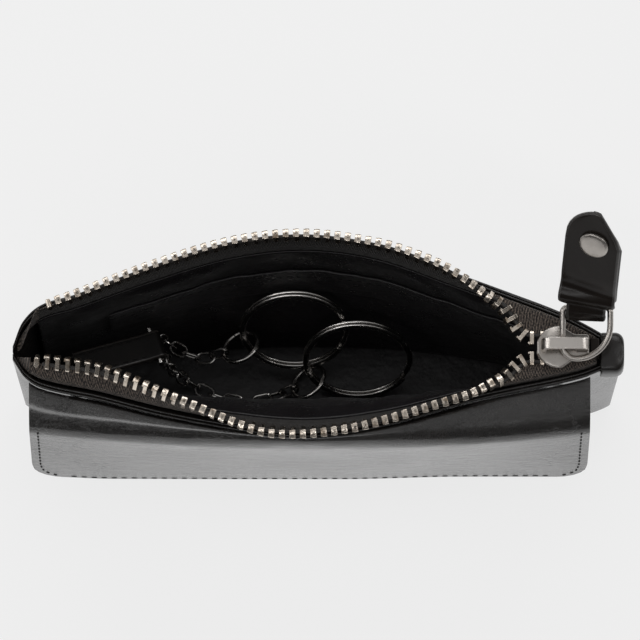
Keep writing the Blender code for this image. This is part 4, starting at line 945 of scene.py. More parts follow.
def tooth():
    """Return one tooth: two slim jaws that clamp the cord, and a wider head with its hook on the left."""
    jaw = TOOTH_THICKNESS / 2
    back, front = -TOOTH_LENGTH / 2, TOOTH_LENGTH / 2
    slot = CORD_THICKNESS / 2 - GAP / 2
    half = ((back - TOOTH_HEAD, slot), (back - TOOTH_HEAD, jaw * 0.75), (back, jaw * 0.97), (back + 0.0005, jaw),
            (front - TOOTH_HOOK * 0.3, jaw), (front - TOOTH_HOOK * 0.1, jaw * 0.85), (front, jaw * 0.5))
    legs = [*half, *((y, -z) for y, z in half[::-1]), (back + 0.0011, -slot), (back + 0.0011, slot)]
    hook = [(front - TOOTH_HOOK, -jaw * 0.92), (front - TOOTH_HOOK, jaw * 0.92),
            (front - TOOTH_HOOK * 0.3, jaw * 0.9), (front, jaw * 0.4), (front, -jaw * 0.4),
            (front - TOOTH_HOOK * 0.3, -jaw * 0.9)]
    return merged([loft([[Vector((x, y, z)) for y, z in outline] for x in ends]) for outline, ends in (
        (legs, (-TOOTH_LEG / 2, TOOTH_LEG / 2)), (hook, (-TOOTH_LEG / 2 - TOOTH_HEAD, TOOTH_LEG * 0.3)))])


def add_tooth_row(label, side, left):
    """Add a cord with its teeth and the stop at its open end."""
    frames = chain_frames(side, left, CHAIN_RIGHT)
    total = frames[-1][0]
    count = int((total - STOP_LENGTH - GAP) / TOOTH_PITCH)
    first = total - (count - 0.5) * TOOTH_PITCH
    one = tooth()
    teeth = merged([moved(one, frame_matrix(frames, first + i * TOOTH_PITCH)) for i in range(count)])
    add_piece(f"teeth_{label}", teeth, TOOTH_METAL, f"zip_chain_{label}", bevel=TOOTH_BEVEL)
    places = [frame_at(frames, at) for at in spread(first - TOOTH_PITCH / 2, total, 300)]
    points = [point + out * (CORD_WIDTH - TOOTH_LENGTH) / 2 for point, _, out in places]
    add_piece(f"cord_{label}", wire(points, CORD_THICKNESS * 0.42, 10, False), CORD)
    outline = rounded_box(STOP_LENGTH * 0.55, TOOTH_LENGTH * 0.9, TOP_STOP_CORNER)
    stop = prism(outline, TOOTH_THICKNESS, (0, -TOOTH_LENGTH / 8, -TOOTH_THICKNESS / 2))
    at = max(first - TOOTH_PITCH / 2 - GAP - STOP_LENGTH / 2, STOP_LENGTH / 2)
    add_piece(f"stop_{label}", moved(stop, frame_matrix(frames, at)), TOOTH_METAL, f"zip_top_stop_{label}",
              bevel=STOP_BEVEL)


def rounded_box(width, length, corner):
    """Return the outline of a rectangle round the origin with rounded corners."""
    return [place for x, y, start in ((1, -1, -90), (1, 1, 0), (-1, 1, 90), (-1, -1, 180))
            for place in arc(x * (width / 2 - corner), y * (length / 2 - corner), corner, start, start + 90, 4)]


def add_tape(label, side, left):
    """Add one woven tape, from its seam between leather and lining to the cord in the teeth."""
    loops = []
    xs = spread(left, BODY_WIDTH / 2 - TAPE_FROM_END, 220)
    for x in xs:
        start, at_edge, lift, chain, out = tape_path(x, side)
        end = chain + out * (CORD_WIDTH - TOOTH_LENGTH) / 2
        loop, around = thick_path(softened([start, at_edge, lift, lift.lerp(end, 0.5), end], 2), TAPE, side)
        loops.append([point + (loop[0] - loop[-1]) / 2 for point in loop])
    # The inner faces take the darker copy of the weave as painted shade
    mesh = loft(loops, along=xs, around=around, edges=TAPE_PAINTED_SHADE_FACES)
    made = add_piece(f"tape_{label}", mesh, HERRINGBONE, f"zip_tape_{label}", edge_finish=TAPE_PAINTED_SHADE, sharp=60)
    add_tape_tail(label, side, left)


def add_tape_tail(label, side, left):
    """Add the tape's cut end, which turns down and tucks into the left seam, frayed at its tip."""
    end_x = -half_width(EDGE_HEIGHT) + LEATHER * 0.7
    columns = spread(0, 1, 26)
    along = [left + (end_x - left) * t for t in columns]
    loops = []
    for t, x in zip(columns, along):
        chain = tape_path(max(x, left), side)[3]
        u = max(x / (BODY_WIDTH / 2), -1)
        inside = side * max(wall_depth(u, EDGE_HEIGHT - GAP, side) - TAPE_INSET, TAPE)
        low = Vector((x, inside, EDGE_HEIGHT - TAPE_TUCK))
        edge = Vector((x, inside, EDGE_HEIGHT - TAPE_END_EDGE_DROP - TAPE_END_EDGE_FALL * t))
        top = chain.lerp(Vector((x, side * TAPE * 1.2, EDGE_HEIGHT - TAPE_END_DROP)), ease(t))
        top.x = x
        fray = TAPE_FRAY * t * noise.noise(Vector((x * 2600, side, 3)))
        middle = edge.lerp(top, 0.5) + Vector((0, 0, TAPE_END_BULGE * (1 - t)))
        path = softened([low, edge, middle, top + Vector((0, fray, fray))], 2)
        loop, around = thick_path(path, TAPE * (1 - 0.4 * t), side)
        loops.append(loop)
    return add_piece(f"tape_tail_{label}", loft(loops, along=along, around=around), HERRINGBONE, sharp=60)


def add_zip():
    """Add the tapes, the teeth and the stops."""
    for label, side, from_end in (("back", 1, BACK_CHAIN_FROM_END), ("front", -1, FRONT_CHAIN_FROM_END)):
        left = from_end - BODY_WIDTH / 2
        add_tape(label, side, left)
        add_tooth_row(label, side, left)
    outline = rounded_box(STOP_LENGTH, 2 * TAIL_SHIFT + TOOTH_LENGTH, BOTTOM_STOP_CORNER)
    start = (SLIDER_RIGHT + GAP + STOP_LENGTH / 2, SLIDER_CENTRE_Y, ZIP_HEIGHT - TOOTH_THICKNESS / 2)
    add_piece("stop_bottom", prism(outline, TOOTH_THICKNESS, start), STOP_METAL, "zip_bottom_stop",
              bevel=STOP_BEVEL)


def add_end_tab():
    """Add the leather saddle folded over the right end of the pouch."""
    seat = EDGE_HEIGHT + GAP
    low = EDGE_HEIGHT - END_TAB_DROP
    right = BODY_WIDTH / 2 + GAP
    columns = spread_to_edges(right - END_TAB_WIDTH - SADDLE_REACH, right, 16, SADDLE_EDGE)
    loops = []
    for x in columns:
        pull = (1 - fullness(x, columns, SADDLE_PULL)) * 0.5
        near = max(SADDLE_CORNER - (right - x), 0)
        wide = END_TAB_SPAN / 2 - SADDLE_CORNER + math.sqrt(max(SADDLE_CORNER ** 2 - near ** 2, 0))
        crown = seat + END_TAB_LEATHER - SADDLE_CORNER_DROP * (near / SADDLE_CORNER) ** 2
        round_low = crown - END_TAB_ROUND
        outer = ((-wide, low), (-wide, round_low), (-wide + END_TAB_ROUND, crown), (0, crown + 0.0001),
                 (wide - END_TAB_ROUND, crown), (wide, round_low), (wide, low))
        wall = min(wall_depth(min(x / (BODY_WIDTH / 2), 1), EDGE_HEIGHT, -1) + GAP, wide - 0.0003)
        inner = ((-wall, low), (-wall, seat), (-wall / 2, seat), (0, seat), (wall / 2, seat), (wall, seat),
                 (wall, low))
        outer, inner = (softened([Vector((x, y, z)) for y, z in line], 3) for line in (outer, inner))
        outer = [point.lerp(Vector((x, point.y * 0.9, point.z - SADDLE_CORNER_DROP)), pull) for point in outer]
        outer = [point - Vector((0, 0, SADDLE_SINK + dent(point, SADDLE_DENT, SADDLE_DENT_SPAN))) for point in outer]
        loops.append(outer + inner[::-1])
    add_piece("end_saddle", loft(loops), END_SKIN, "zip_end_tab")


# The slider and its pull

def slider_half(t):
    """Return half of the slider's width at a share of its length from the crown."""
    return (CROWN_WIDTH + (TAIL_WIDTH - CROWN_WIDTH) * ease((t - CROWN_CENTRE) / WAIST_SHARE)) / 2


def slider_outline(shrink):
    """Return the slider's outline from above, round at the crown and square at the tail."""
    right_side = []
    for t in spread(0, 1, 40):
        t = t * t * (1.6 - 0.6 * t)
        nose = math.sqrt(max(1 - max(1 - (t + 0.006) / CROWN_CENTRE, 0) ** 2, 0))
        tail = 1 - 0.15 * max((t - 0.95) / 0.05, 0) ** 2
        x = min(max(t * SLIDER_LENGTH, shrink), SLIDER_LENGTH - shrink)
        right_side.append((x, slider_half(t) * nose * tail - shrink))
    return [(x, -y) for x, y in right_side] + right_side[::-1]


def plate(bottom, top):
    """Return a slider plate with softly rounded edges."""
    soft = PLATE * 0.3
    levels = ((bottom, soft), (bottom + soft * 0.4, soft * 0.3), (bottom + soft, 0.0), (top - soft, 0.0),
              (top - soft * 0.4, soft * 0.3), (top, soft))
    return loft([[Vector((x, y, z)) for x, y in slider_outline(shrink)] for z, shrink in levels])


def add_slider():
    """Add the slider: two plates with rims, joined by a post, and the bridge on top."""
    rim = (CHANNEL_HEIGHT - SLOT_HEIGHT) / 2
    half = CHANNEL_HEIGHT / 2
    middle = POST_FROM_CROWN + POST_LENGTH * 0.44
    post = [(POST_FROM_CROWN, 0), (middle, -POST_WIDTH / 2), (POST_FROM_CROWN + POST_LENGTH, 0),
            (middle, POST_WIDTH / 2)]
    solids = [plate(half, half + PLATE), plate(-half - PLATE, -half), prism(post, CHANNEL_HEIGHT, (0, 0, -half))]
    for side in (-1, 1):
        edge = [(t * SLIDER_LENGTH, side * slider_half(t)) for t in spread(CROWN_CENTRE, 0.95, 24)]
        outline = edge + [(x, y - side * FLANGE) for x, y in edge[::-1]]
        solids += [prism(outline, rim, (0, 0, low)) for low in (half - rim, -half)]
    mesh = moved(merged(solids), shift(SLIDER_LEFT, SLIDER_CENTRE_Y, ZIP_HEIGHT))
    add_piece("slider", mesh, NICKEL, "slider_body", "slider")
    add_bridge()


def add_bridge():
    """Add the arched bar that the pull ring runs under."""
    base = PLATE_TOP
    left = SLIDER_LEFT + BRIDGE_FROM_CROWN
    right = SLIDER_RIGHT - GAP
    under = base + GAP + BRIDGE_CLEARANCE
    top = under + BRIDGE_THICKNESS
    inside_left = left + BRIDGE_FRONT_FOOT
    inside_right = right - BRIDGE_REAR_FOOT
    crown, tail, inner = BRIDGE_CROWN_ROUND, BRIDGE_ROUND, BRIDGE_INNER_ROUND
    outline = [(left, base), *arc(left + crown, top - crown, crown, 180, 90, 10),
               *arc(right - tail, top - tail, tail, 90, 0, 6), (right, base), (inside_right, base),
               (inside_right, under - inner), (inside_right - inner, under), (inside_left + inner, under),
               (inside_left, under - inner), (inside_left, base)]
    place = placement(Vector((0, SLIDER_CENTRE_Y + BRIDGE_WIDTH / 2, 0)), RIGHTWARD, FRONTWARD)
    # The bridge takes the lighter copy of the nickel as painted light
    add_piece("bridge", moved(prism(outline, BRIDGE_WIDTH), place), BRIDGE_NICKEL_PAINTED_LIGHT, "slider_bridge", "slider",
              bevel=BRIDGE_BEVEL)


RING_UP = Vector((0, math.cos(RING_TILT), math.sin(RING_TILT)))
RING_SPAN_X = RING_INNER_WIDTH + RING_WIRE
RING_SPAN_Y = RING_INNER_LENGTH + RING_WIRE
BAR_CENTRE = PULL_PIVOT + RING_UP * (RING_SPAN_Y - RING_FRONT) + RIGHTWARD * RING_SPAN_X / 2
TAB_ALONG = Vector((TAB_SKEW, math.cos(TAB_TILT), math.sin(TAB_TILT))).normalized()
TAB_NORMAL = RIGHTWARD.cross(TAB_ALONG).normalized()
TAB_PLACE = placement(BAR_CENTRE, TAB_ALONG.cross(TAB_NORMAL), TAB_NORMAL)
TAB_LAYER_OFFSET = (TAB_LEATHER + GAP) / 2


def add_pull():
    """Add the wire ring, the folded leather tab on its far bar, and the tab's rivet."""
    low, high, near = RING_FRONT, RING_FAR_CORNER, RING_NEAR_CORNER
    corners = ((RING_SPAN_X - near, near, near, -90), (RING_SPAN_X - high, RING_SPAN_Y - high, high, 0),
               (high, RING_SPAN_Y - high, high, 90), (low, low, low, 180))
    points = [PULL_PIVOT + RIGHTWARD * a + RING_UP * (b - RING_FRONT)
              for x, y, radius, start in corners for a, b in arc(x, y, radius, start, start + 90, 12)]
    add_piece("ring_of_pull", wire(points, RING_WIRE / 2, 14), NICKEL, "pull_ring", "pull_ring")
    add_tab()
    add_rivet()


def tab_half(s, side):
    """Return half of the tab's width at a distance from the bar: round on the left, cut straight on the right."""
    half = TAB_WIDTH / 2
    if s < TAB_SHOULDER:
        neck = TAB_NECK_LOOK / 2
        return neck + (half - neck) * ease((s - TAB_STEP) / TAB_STEP_LENGTH)
    t = max((s - TAB_LENGTH + TAB_POINT) / TAB_POINT, 0)
    if side < 0:
        return half * max(1 - t ** 2.6, 0) ** 0.62
    cut = half * (1 - 0.80 * max(t - 0.12, 0) / 0.88)
    return min(cut, half * max(1 - t ** 14, 0) ** 0.5)


def tab_crease(s):
    """Return how far the tab's leather stands proud where it is pinched over its bar."""
    ridge, hollow = (math.exp(-((s - place) / width) ** 2) for place, width in (CREASE_RIDGE, CREASE_HOLLOW))
    return TAB_CREASE * (ridge - 0.3 * hollow)


def twisted(point, s):
    """Return a point of the tab turned about the tab's middle line, more towards the tip."""
    turn = TAB_TWIST_START + (TAB_TWIST - TAB_TWIST_START) * ease(s / TAB_TWIST_REACH)
    return Matrix.Rotation(-turn * ease((s + TAB_TWIST_ROOT) / TAB_TWIST_ROOT), 4, "Y") @ point


def strip_loops(path, half_at, thickness, matrix, bend_at=None):
    """Return the loops of a strip with rounded edges along a path of (s, n, width station) points."""
    loops = []
    for i, (s, n, station) in enumerate(path):
        s0, n0, _ = path[max(i - 1, 0)]
        s1, n1, _ = path[min(i + 1, len(path) - 1)]
        normal = Vector((n0 - n1, s1 - s0)).normalized()
        loop = []
        for side in (1, -1):
            half = max(half_at(station, side), 0.0003)
            curve = min(thickness / 2, half)
            for angle in (math.radians(-90 + 30 * k) for k in range(7)):
                loop.append((side * (half - curve + curve * math.cos(angle)), side * thickness / 2 * math.sin(angle)))
            loop += [(side * half * share, side * thickness / 2) for share in (0.5, 0.0, -0.5)]
        places = [Vector((x, s + normal.x * t, n + normal.y * t)) for x, t in loop]
        loops.append([matrix @ (bend_at(place, s) if bend_at else place) for place in places])
    return loops


STRIP_EDGES = (*range(6), *range(10, 16))


def add_tab():
    """Add the leather strip folded round the ring's bar and cut to the tab's outline."""
    bend = RING_WIRE / 2 + GAP + TAB_LEATHER / 2
    offset = TAB_LAYER_OFFSET
    shares = (0.0005, 0.01, 0.04, 0.09, 0.16, 0.25, 0.36, 0.5, 0.7, 1.0)
    straight = [TAB_LENGTH - TAB_POINT * share for share in shares]
    straight += spread(TAB_LENGTH - TAB_POINT, TAB_NECK_LENGTH, 24)[1:]
    turn = [math.radians(d) for d in range(120, -121, -10)]
    near = -math.cos(turn[0]) * bend
    lift = math.sin(turn[0]) * bend - offset
    slope = [(s, lift * (TAB_NECK_LENGTH - s) / (TAB_NECK_LENGTH - near))
             for s in spread(TAB_NECK_LENGTH, near, 12)[1:-1]]
    path = [(s, offset + tab_crease(s), s) for s in straight]
    path += [(s, offset + rise + tab_crease(s), s) for s, rise in slope]
    path += [(-math.cos(a) * (bend + TAB_LOOP_SLACK * (math.cos(a) > 0)), math.sin(a) * bend, 0) for a in turn]
    path += [(s, -offset - rise, s) for s, rise in slope[::-1]]
    path += [(s - BACK_LAYER_SHORT * ease(s / TAB_LENGTH), -offset, s) for s in straight[::-1]]
    loops = strip_loops(path, tab_half, TAB_LEATHER, TAB_PLACE, twisted)
    add_piece("tab_leather", loft(loops, edges=STRIP_EDGES), TAB_SKIN, "pull_tab", "pull_tab", CUT_EDGE, 60)


def add_rivet():
    """Add the rivet's domed cap in front of the tab and its flat base behind."""
    radius = RIVET_LOOK_RADIUS
    height = RIVET_HEIGHT
    dome = [(0, 0), (radius * 0.94, 0), (radius, height * 0.12), (radius, height * 0.5)]
    dome += [(radius * (1 - 0.12 * (1 - c)), height * (0.5 + 0.3 * s)) for c, s in arc(0, 0, 1, 0, 90, 5)[1:]]
    dome += [(radius * 0.88 * c, height * (0.8 + 0.16 * s)) for c, s in arc(0, 0, 1, 0, 90, 8)[1:-1]]
    dome += [(0, height * 0.96)]
    radius, height = RIVET_BASE_DIAMETER / 2, RIVET_BASE_HEIGHT
    base = [(0, 0), (radius, 0), (radius, height * 0.6), (radius * 0.93, height), (radius * 0.45, height),
            (radius * 0.35, height * 0.5), (0, height * 0.4)]
    along = TAB_LENGTH - RIVET_FROM_TIP
    face = TAB_LEATHER + GAP / 2
    turn = TAB_PLACE @ Matrix.Rotation(-TAB_TWIST, 4, "Y")
    for name, profile, place in (("cap", dome, shift(RIVET_SHIFT, along - RIVET_SHIFT, face)),
                                 ("base", base, shift(0, along, -face) @ Matrix.Rotation(math.pi, 4, "X"))):
        add_piece(f"round_{name}", moved(turned(profile), turn @ place), NICKEL, f"rivet_{name}", "pull_tab")


# The flap, its pocket and the snap

def fold_depth(x):
    """Return the y of the fold's crest; it bows out in the middle."""
    middle = (FLAP_LEFT + FLAP_RIGHT) / 2
    bow = max(1 - abs((x - middle) / (FLAP_RIGHT - middle)) ** 2.2, 0)
    return -(FLAP_FOLD_END_DEPTH + (FLAP_FOLD_DEPTH - FLAP_FOLD_END_DEPTH) * bow)


def flap_bend(x):
    """Return the (depth, height) places that steer the flap's bend: at the wall, over the fold, at the knee."""
    seam = EDGE_HEIGHT - ROOT_SEAM_DROP
    wall = -wall_depth(x / (BODY_WIDTH / 2), seam, -1) - GAP
    crest = min(fold_depth(x), wall - ROOT_MIN_WIDTH)
    knee = crest - (FLAP_BOTTOM_DEPTH + crest) * FLAP_KNEE
    slope = (FLAP_BOTTOM_DEPTH + knee) / (FLAP_KNEE_HEIGHT - FLAP_BOTTOM_HEIGHT)
    over = knee + slope * (seam - FLAP_KNEE_HEIGHT)
    return (wall, seam), (over, seam - FLAP_SHELF_SLOPE * (wall - over)), (knee, FLAP_KNEE_HEIGHT)


def on_bend(bend, t):
    """Return the depth and height at a share of the way round the bend."""
    return [a * (1 - t) ** 2 + b * 2 * t * (1 - t) + c * t * t for a, b, c in zip(*bend)]


def flap_point(x, height, inset):
    """Return a point of the hanging flap, inset from its outer face."""
    bend = flap_bend(x)
    knee = bend[2][0]
    if height > FLAP_KNEE_HEIGHT:
        a, b, c = (place[1] for place in bend)
        square, linear = a - 2 * b + c, b - a
        root = math.sqrt(max(linear * linear - square * (a - height), 0))
        depth = on_bend(bend, min(max((-linear - root) / square, 0), 1))[0]
    else:
        share = (FLAP_KNEE_HEIGHT - height) / (FLAP_KNEE_HEIGHT - FLAP_BOTTOM_HEIGHT)
        depth = knee - (FLAP_BOTTOM_DEPTH + knee) * share
    return Vector((x, depth + inset, height))


def corner_rise(corner, distance):
    """Return how far a rounded corner lifts an edge at a distance from its end."""
    near_end = max(corner - distance, 0)
    return corner - math.sqrt(max(corner ** 2 - near_end ** 2, 0))


def flap_bottom(x, trim=0.0):
    """Return the height of the flap's lower edge, rounded at its corners."""
    distance = min(x - FLAP_LEFT - trim, FLAP_RIGHT - trim - x)
    return FLAP_BOTTOM_HEIGHT + trim + corner_rise(FLAP_LOOK_CORNER, distance)


def flap_path(x):
    """Return the outer face of the flap at x: from the wall over the fold and down to the edge."""
    bend = flap_bend(x)
    path = [Vector((x, *on_bend(bend, t))) for t in spread(0, 1, 16)]
    bottom = flap_bottom(x)
    heights = spread(FLAP_KNEE_HEIGHT, bottom, 16)[1:-1] + [bottom + rise for rise in FLAP_RIM]
    path += [flap_point(x, height, 0) for height in heights]
    for i, point in enumerate(path):
        point.y += min(i, 12) / 12 * flap_dent(point)
    return path


def flap_dent(point):
    """Return how far the flap's face is pushed in: slack, bumps at its fold, a lower edge that sags."""
    slack = FLAP_DENT * (1 + dent(Vector((point.x, point.y, point.z * 0.5)), 1, FLAP_DENT_SPAN))
    hang = ease((FLAP_KNEE_HEIGHT - point.z) / (FLAP_KNEE_HEIGHT - FLAP_BOTTOM_HEIGHT))
    slack -= (FLAP_SAG * hang * ease((FLAP_SAG_END - point.x) / FLAP_SAG_FADE)
              * ease((point.x - FLAP_LEFT) / FLAP_SAG_LEFT_FADE))
    return slack + dent(point, FLAP_BUMP * ease((point.z - FLAP_BUMP_HEIGHT) / FLAP_BUMP_SPAN), FLAP_BUMP_SPAN)


def leaned(point):
    """Return a point of the flap drawn inward near its bottom corners."""
    share = ease((FLAP_BOTTOM_HEIGHT + FLAP_LEAN_REACH - point.z) / FLAP_LEAN_REACH)
    middle = (FLAP_LEFT + FLAP_RIGHT) / 2
    side = (point.x - middle) / (FLAP_RIGHT - middle)
    return point - RIGHTWARD * FLAP_SIDE_LEAN * share * side ** 3


def add_flap():
    """Add the flap's leather, which bends over the fold, with its lining and stitching."""
    columns = spread_to_edges(FLAP_LEFT, FLAP_RIGHT, 130, FLAP_LOOK_CORNER)
    loops = []
    for x in columns:
        loop, around = thick_path(flap_path(x), FLAP_LEATHER * fullness(x, columns, FLAP_LEATHER / 2), 1)
        loops.append([leaned(point) for point in loop])
    mesh = loft(loops, along=columns, around=around, edges=FLAP_RIM_FACES)
    made = add_piece("flap_leather", mesh, FLAP_SKIN, "flap_outer flap_root", None, CUT_EDGE, 60)
    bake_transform(made)
    add_flap_lining()
    add_flap_stitches()


def add_flap_lining():
    """Add the flap's inner layer."""
    inset = FLAP_LEATHER + GAP
    top = FLAP_FOLD_HEIGHT - GAP

    def place(x, share):
        height = top + (flap_bottom(x, FLAP_LINING_TRIM) - top) * share
        return flap_point(x, height, inset), flap_point(x, height, inset + FLAP_LINING)

    columns = spread_to_edges(FLAP_LEFT + FLAP_LINING_TRIM, FLAP_RIGHT - FLAP_LINING_TRIM, 80, FLAP_LOOK_CORNER)
    mesh = soft_sheet(place, columns, spread(0, 1, 24), 0.02)
    add_piece("flap_inner_leather", mesh, SMOOTH_LEATHER, "flap_lining", "flap")


def add_flap_stitches():
    """Add the rows of stitches that run down both sides and along the bottom of the flap."""
    low = FLAP_FOLD_HEIGHT - SIDE_STITCH_DROP
    left, right = FLAP_LEFT + STITCH_INSET, FLAP_RIGHT - STITCH_INSET
    bottom = FLAP_BOTTOM_HEIGHT + BOTTOM_STITCH_INSET
    corner = FLAP_LOOK_CORNER - STITCH_INSET / 2
    route = [(left, z) for z in spread(low, bottom + corner, 30)]
    route += arc(left + corner, bottom + corner, corner, 180, 270, 6)[1:]
    route += [(x, bottom) for x in spread(left + corner, right - corner, 120)[1:]]
    route += arc(right - corner, bottom + corner, corner, 270, 360, 6)[1:]
    route += [(right, z) for z in spread(bottom + corner, low, 30)[1:]]
    line = [flap_point(x, z, 0) for x, z in route]
    line = [leaned(point + Vector((0, flap_dent(point), 0))) for point in line]
    turn = 36
    for name, part, length, thick in (("left", line[:turn], SIDE_STITCH, SIDE_THREAD),
                                      ("bottom", line[turn:-turn], STITCH_LENGTH, STITCH_THREAD),
                                      ("right", line[-turn:], SIDE_STITCH, SIDE_THREAD)):
        add_stitches(f"flap_stitches_{name}", part, FRONTWARD, "flap", STITCH_PITCH, length, thick)


def add_pocket():
    """Add the front pocket under the flap: its face, two gussets and its bottom."""
    half = POCKET_HALF_WIDTH
    inner_face = -POCKET_DEPTH + POCKET_LEATHER
    x_out = half - GUSSET_INSET
    inside = x_out - POCKET_LEATHER - GAP

    def face(x, share):
        low = POCKET_BOTTOM + corner_rise(POCKET_CORNER, half - abs(x))
        return [Vector((x, y, low + (POCKET_TOP - low) * share)) for y in (-POCKET_DEPTH, inner_face)]

    def behind(x, height, share):
        return inner_face + GAP + (wall_front(x, height) - inner_face - GAP) * share

    def left(height, share, side=-1):
        y = behind(side * x_out, height, share)
        return [Vector((side * x, y, height)) for x in (x_out, x_out - POCKET_LEATHER)]

    def right(height, share):
        return left(height, share, 1)

    def bottom(x, share):
        y = behind(x, POCKET_BOTTOM, share)
        return [Vector((x, y, z)) for z in (POCKET_BOTTOM, POCKET_BOTTOM + POCKET_LEATHER)]

    def add(name, node, place, columns, across, reach=0.02):
        add_piece(name, soft_sheet(place, columns, spread(0, 1, across), reach), SMOOTH_LEATHER, node)

    add("pocket_face", "pocket_front", face, spread_to_edges(-half, half, 60, POCKET_CORNER), 30, POCKET_EDGE)
    line = [Vector((x, -POCKET_DEPTH, POCKET_TOP - STITCH_INSET)) for x in spread(-half, half, 80)]
    add_stitches("pocket_stitches", line, FRONTWARD)
    rows = spread(POCKET_BOTTOM + POCKET_CORNER, POCKET_TOP, 20)
    add("gusset_left", "pocket_gusset_left", left, rows, 8)
    add("gusset_right", "pocket_gusset_right", right, rows, 8)
    add("pocket_floor", "pocket_bottom", bottom, spread(-inside, inside, 60), 6)


def add_snap():
    """Add the stud on the pocket and the socket in the flap that it clicks into."""
    radius, nub = SNAP_DIAMETER / 2, SNAP_NUB_DIAMETER / 2
    top, rim, hole = STUD_THICKNESS, SOCKET_THICKNESS, SNAP_NUB_DIAMETER / 2 + SNAP_HOLE_CLEARANCE
    stud = [(0, 0), (radius * 0.97, 0), (radius, top * 0.3), (radius * 0.96, top * 0.7), (radius * 0.8, top),
            (nub * 1.25, top), (nub, top * 1.05), (nub * 0.92, top + SNAP_NUB * 0.5), (nub, top + SNAP_NUB * 0.8),
            (nub * 0.8, top + SNAP_NUB), (0, top + SNAP_NUB)]
    socket = [(0, 0), (radius * 0.97, 0), (radius, rim * 0.3), (radius * 0.95, rim * 0.7),
              (radius * 0.75, rim * 0.8), (radius * 0.6, rim), (hole * 1.1, rim), (hole, rim * 0.9),
              (hole, SNAP_NUB), (0, SNAP_NUB)]
    behind = flap_point(SNAP_X, SNAP_HEIGHT, FLAP_LEATHER + FLAP_LINING + 3 * GAP).y
    for name, profile, y, aim, body in (("stud", stud, -POCKET_DEPTH - GAP, FRONTWARD, "pouch"),
                                        ("socket", socket, behind, -FRONTWARD, "flap")):
        place = placement(Vector((SNAP_X, y, SNAP_HEIGHT)), RIGHTWARD, aim)
        add_piece(name, moved(turned(profile), place), NICKEL, f"snap_{name}", body)


# The strap, rings and chains inside

STRAP_ALONG = (STRAP_END - STRAP_START).normalized()
STRAP_ACROSS = Vector((0, 0, 1)).cross(STRAP_ALONG).normalized()
STRAP_NORMAL = STRAP_ALONG.cross(STRAP_ACROSS)


def add_contents():
    """Add the strap, the rings and the two chains inside the pouch."""
    reach = LINK_LENGTH / 2 - LINK_WIRE - D_RING_WIRE / 2 - GAP
    next_reach = reach + LINK_LENGTH - 2 * LINK_WIRE - LINK_SLACK
    for (label, centre, angle, way), (start, start_out, start_wire) in zip(CHAINS, add_strap()):
        centre = Vector(centre)
        end, end_out, end_wire = add_jump_ring(label, centre, add_split_ring(label, centre), math.radians(angle))
        knots = [start + start_out * reach, start + start_out * next_reach, *map(Vector, way),
                 end + end_out * next_reach, end + end_out * reach]
        add_chain(label, knots, start_wire, end_wire)


def add_strap():
    """Add the strap, folded back over the D-ring's bar, and the D-ring; return the chains' hooks."""
    bend = D_RING_WIRE / 2 + GAP + STRAP_LEATHER / 2
    offset = (STRAP_LEATHER + GAP) / 2
    length = (STRAP_END - STRAP_START).length
    path = [(s, offset, s) for s in spread(0, length - STRAP_NECK, 12)]
    path += [(length + bend * math.cos(a), bend * math.sin(a), length)
             for a in (math.radians(d) for d in range(115, -116, -10))]
    path += [(s, -offset, s) for s in spread(length - STRAP_NECK, length * STRAP_TURN_BACK, 10)]
    matrix = axes(STRAP_ACROSS, STRAP_ALONG, STRAP_NORMAL, STRAP_START)
    loops = strip_loops(path, lambda s, side: STRAP_WIDTH / 2, STRAP_LEATHER, matrix)
    add_piece("strap_leather", loft(loops, edges=STRIP_EDGES), STRAP_SKIN, "key_strap", "pouch", CUT_EDGE, 60)
    for side, name in ((-1, "left"), (1, "right")):
        line = [matrix @ Vector((side * (STRAP_WIDTH / 2 - STRAP_STITCH_INSET), s, offset + STRAP_LEATHER / 2))
                for s in spread(0.001, length - STRAP_NECK, 10)]
        add_stitches(f"strap_stitches_{name}", line, STRAP_NORMAL, "pouch", STRAP_STITCH_PITCH, STRAP_STITCH)
    return add_d_ring()


def add_d_ring():
    """Add the D-ring; return the two places on its bow where the chains hook on."""
    radius = D_RING_WIDTH / 2
    hang = (STRAP_ALONG * D_RING_SWEEP + Vector((0, 0, -1))).normalized()
    points = [(radius * t, 0) for t in spread(-0.93, 0.93, 12)]
    points += [(radius, D_RING_HEEL), *arc(0, D_RING_SHANK, radius, 0, 180, 32), (-radius, D_RING_HEEL)]
    route = [STRAP_END + STRAP_ACROSS * a + hang * b for a, b in points]
    normal = STRAP_ACROSS.cross(hang).normalized()
    add_piece("d_ring_wire", wire(route, D_RING_WIRE / 2, 14, True, normal), STEEL, "d_ring", "d_ring")
    hooks = []
    for turn in (math.pi / 2 - HOOK_SPREAD, math.pi / 2 + HOOK_SPREAD):
        out = STRAP_ACROSS * math.cos(turn) + hang * math.sin(turn)
        tangent = hang * math.cos(turn) - STRAP_ACROSS * math.sin(turn)
        hooks.append((STRAP_END + hang * D_RING_SHANK + out * radius, out, tangent))
    return hooks


def rounded_section(width, height, steps=16, square=0.9):
    """Return (across, up) places round a wire that is flatter than round."""
    return [(math.copysign(abs(c) ** square, c) * width / 2, math.copysign(abs(s) ** square, s) * height / 2)
            for c, s in arc(0, 0, 1, 180 / steps, 360 + 180 / steps, steps)[:-1]]


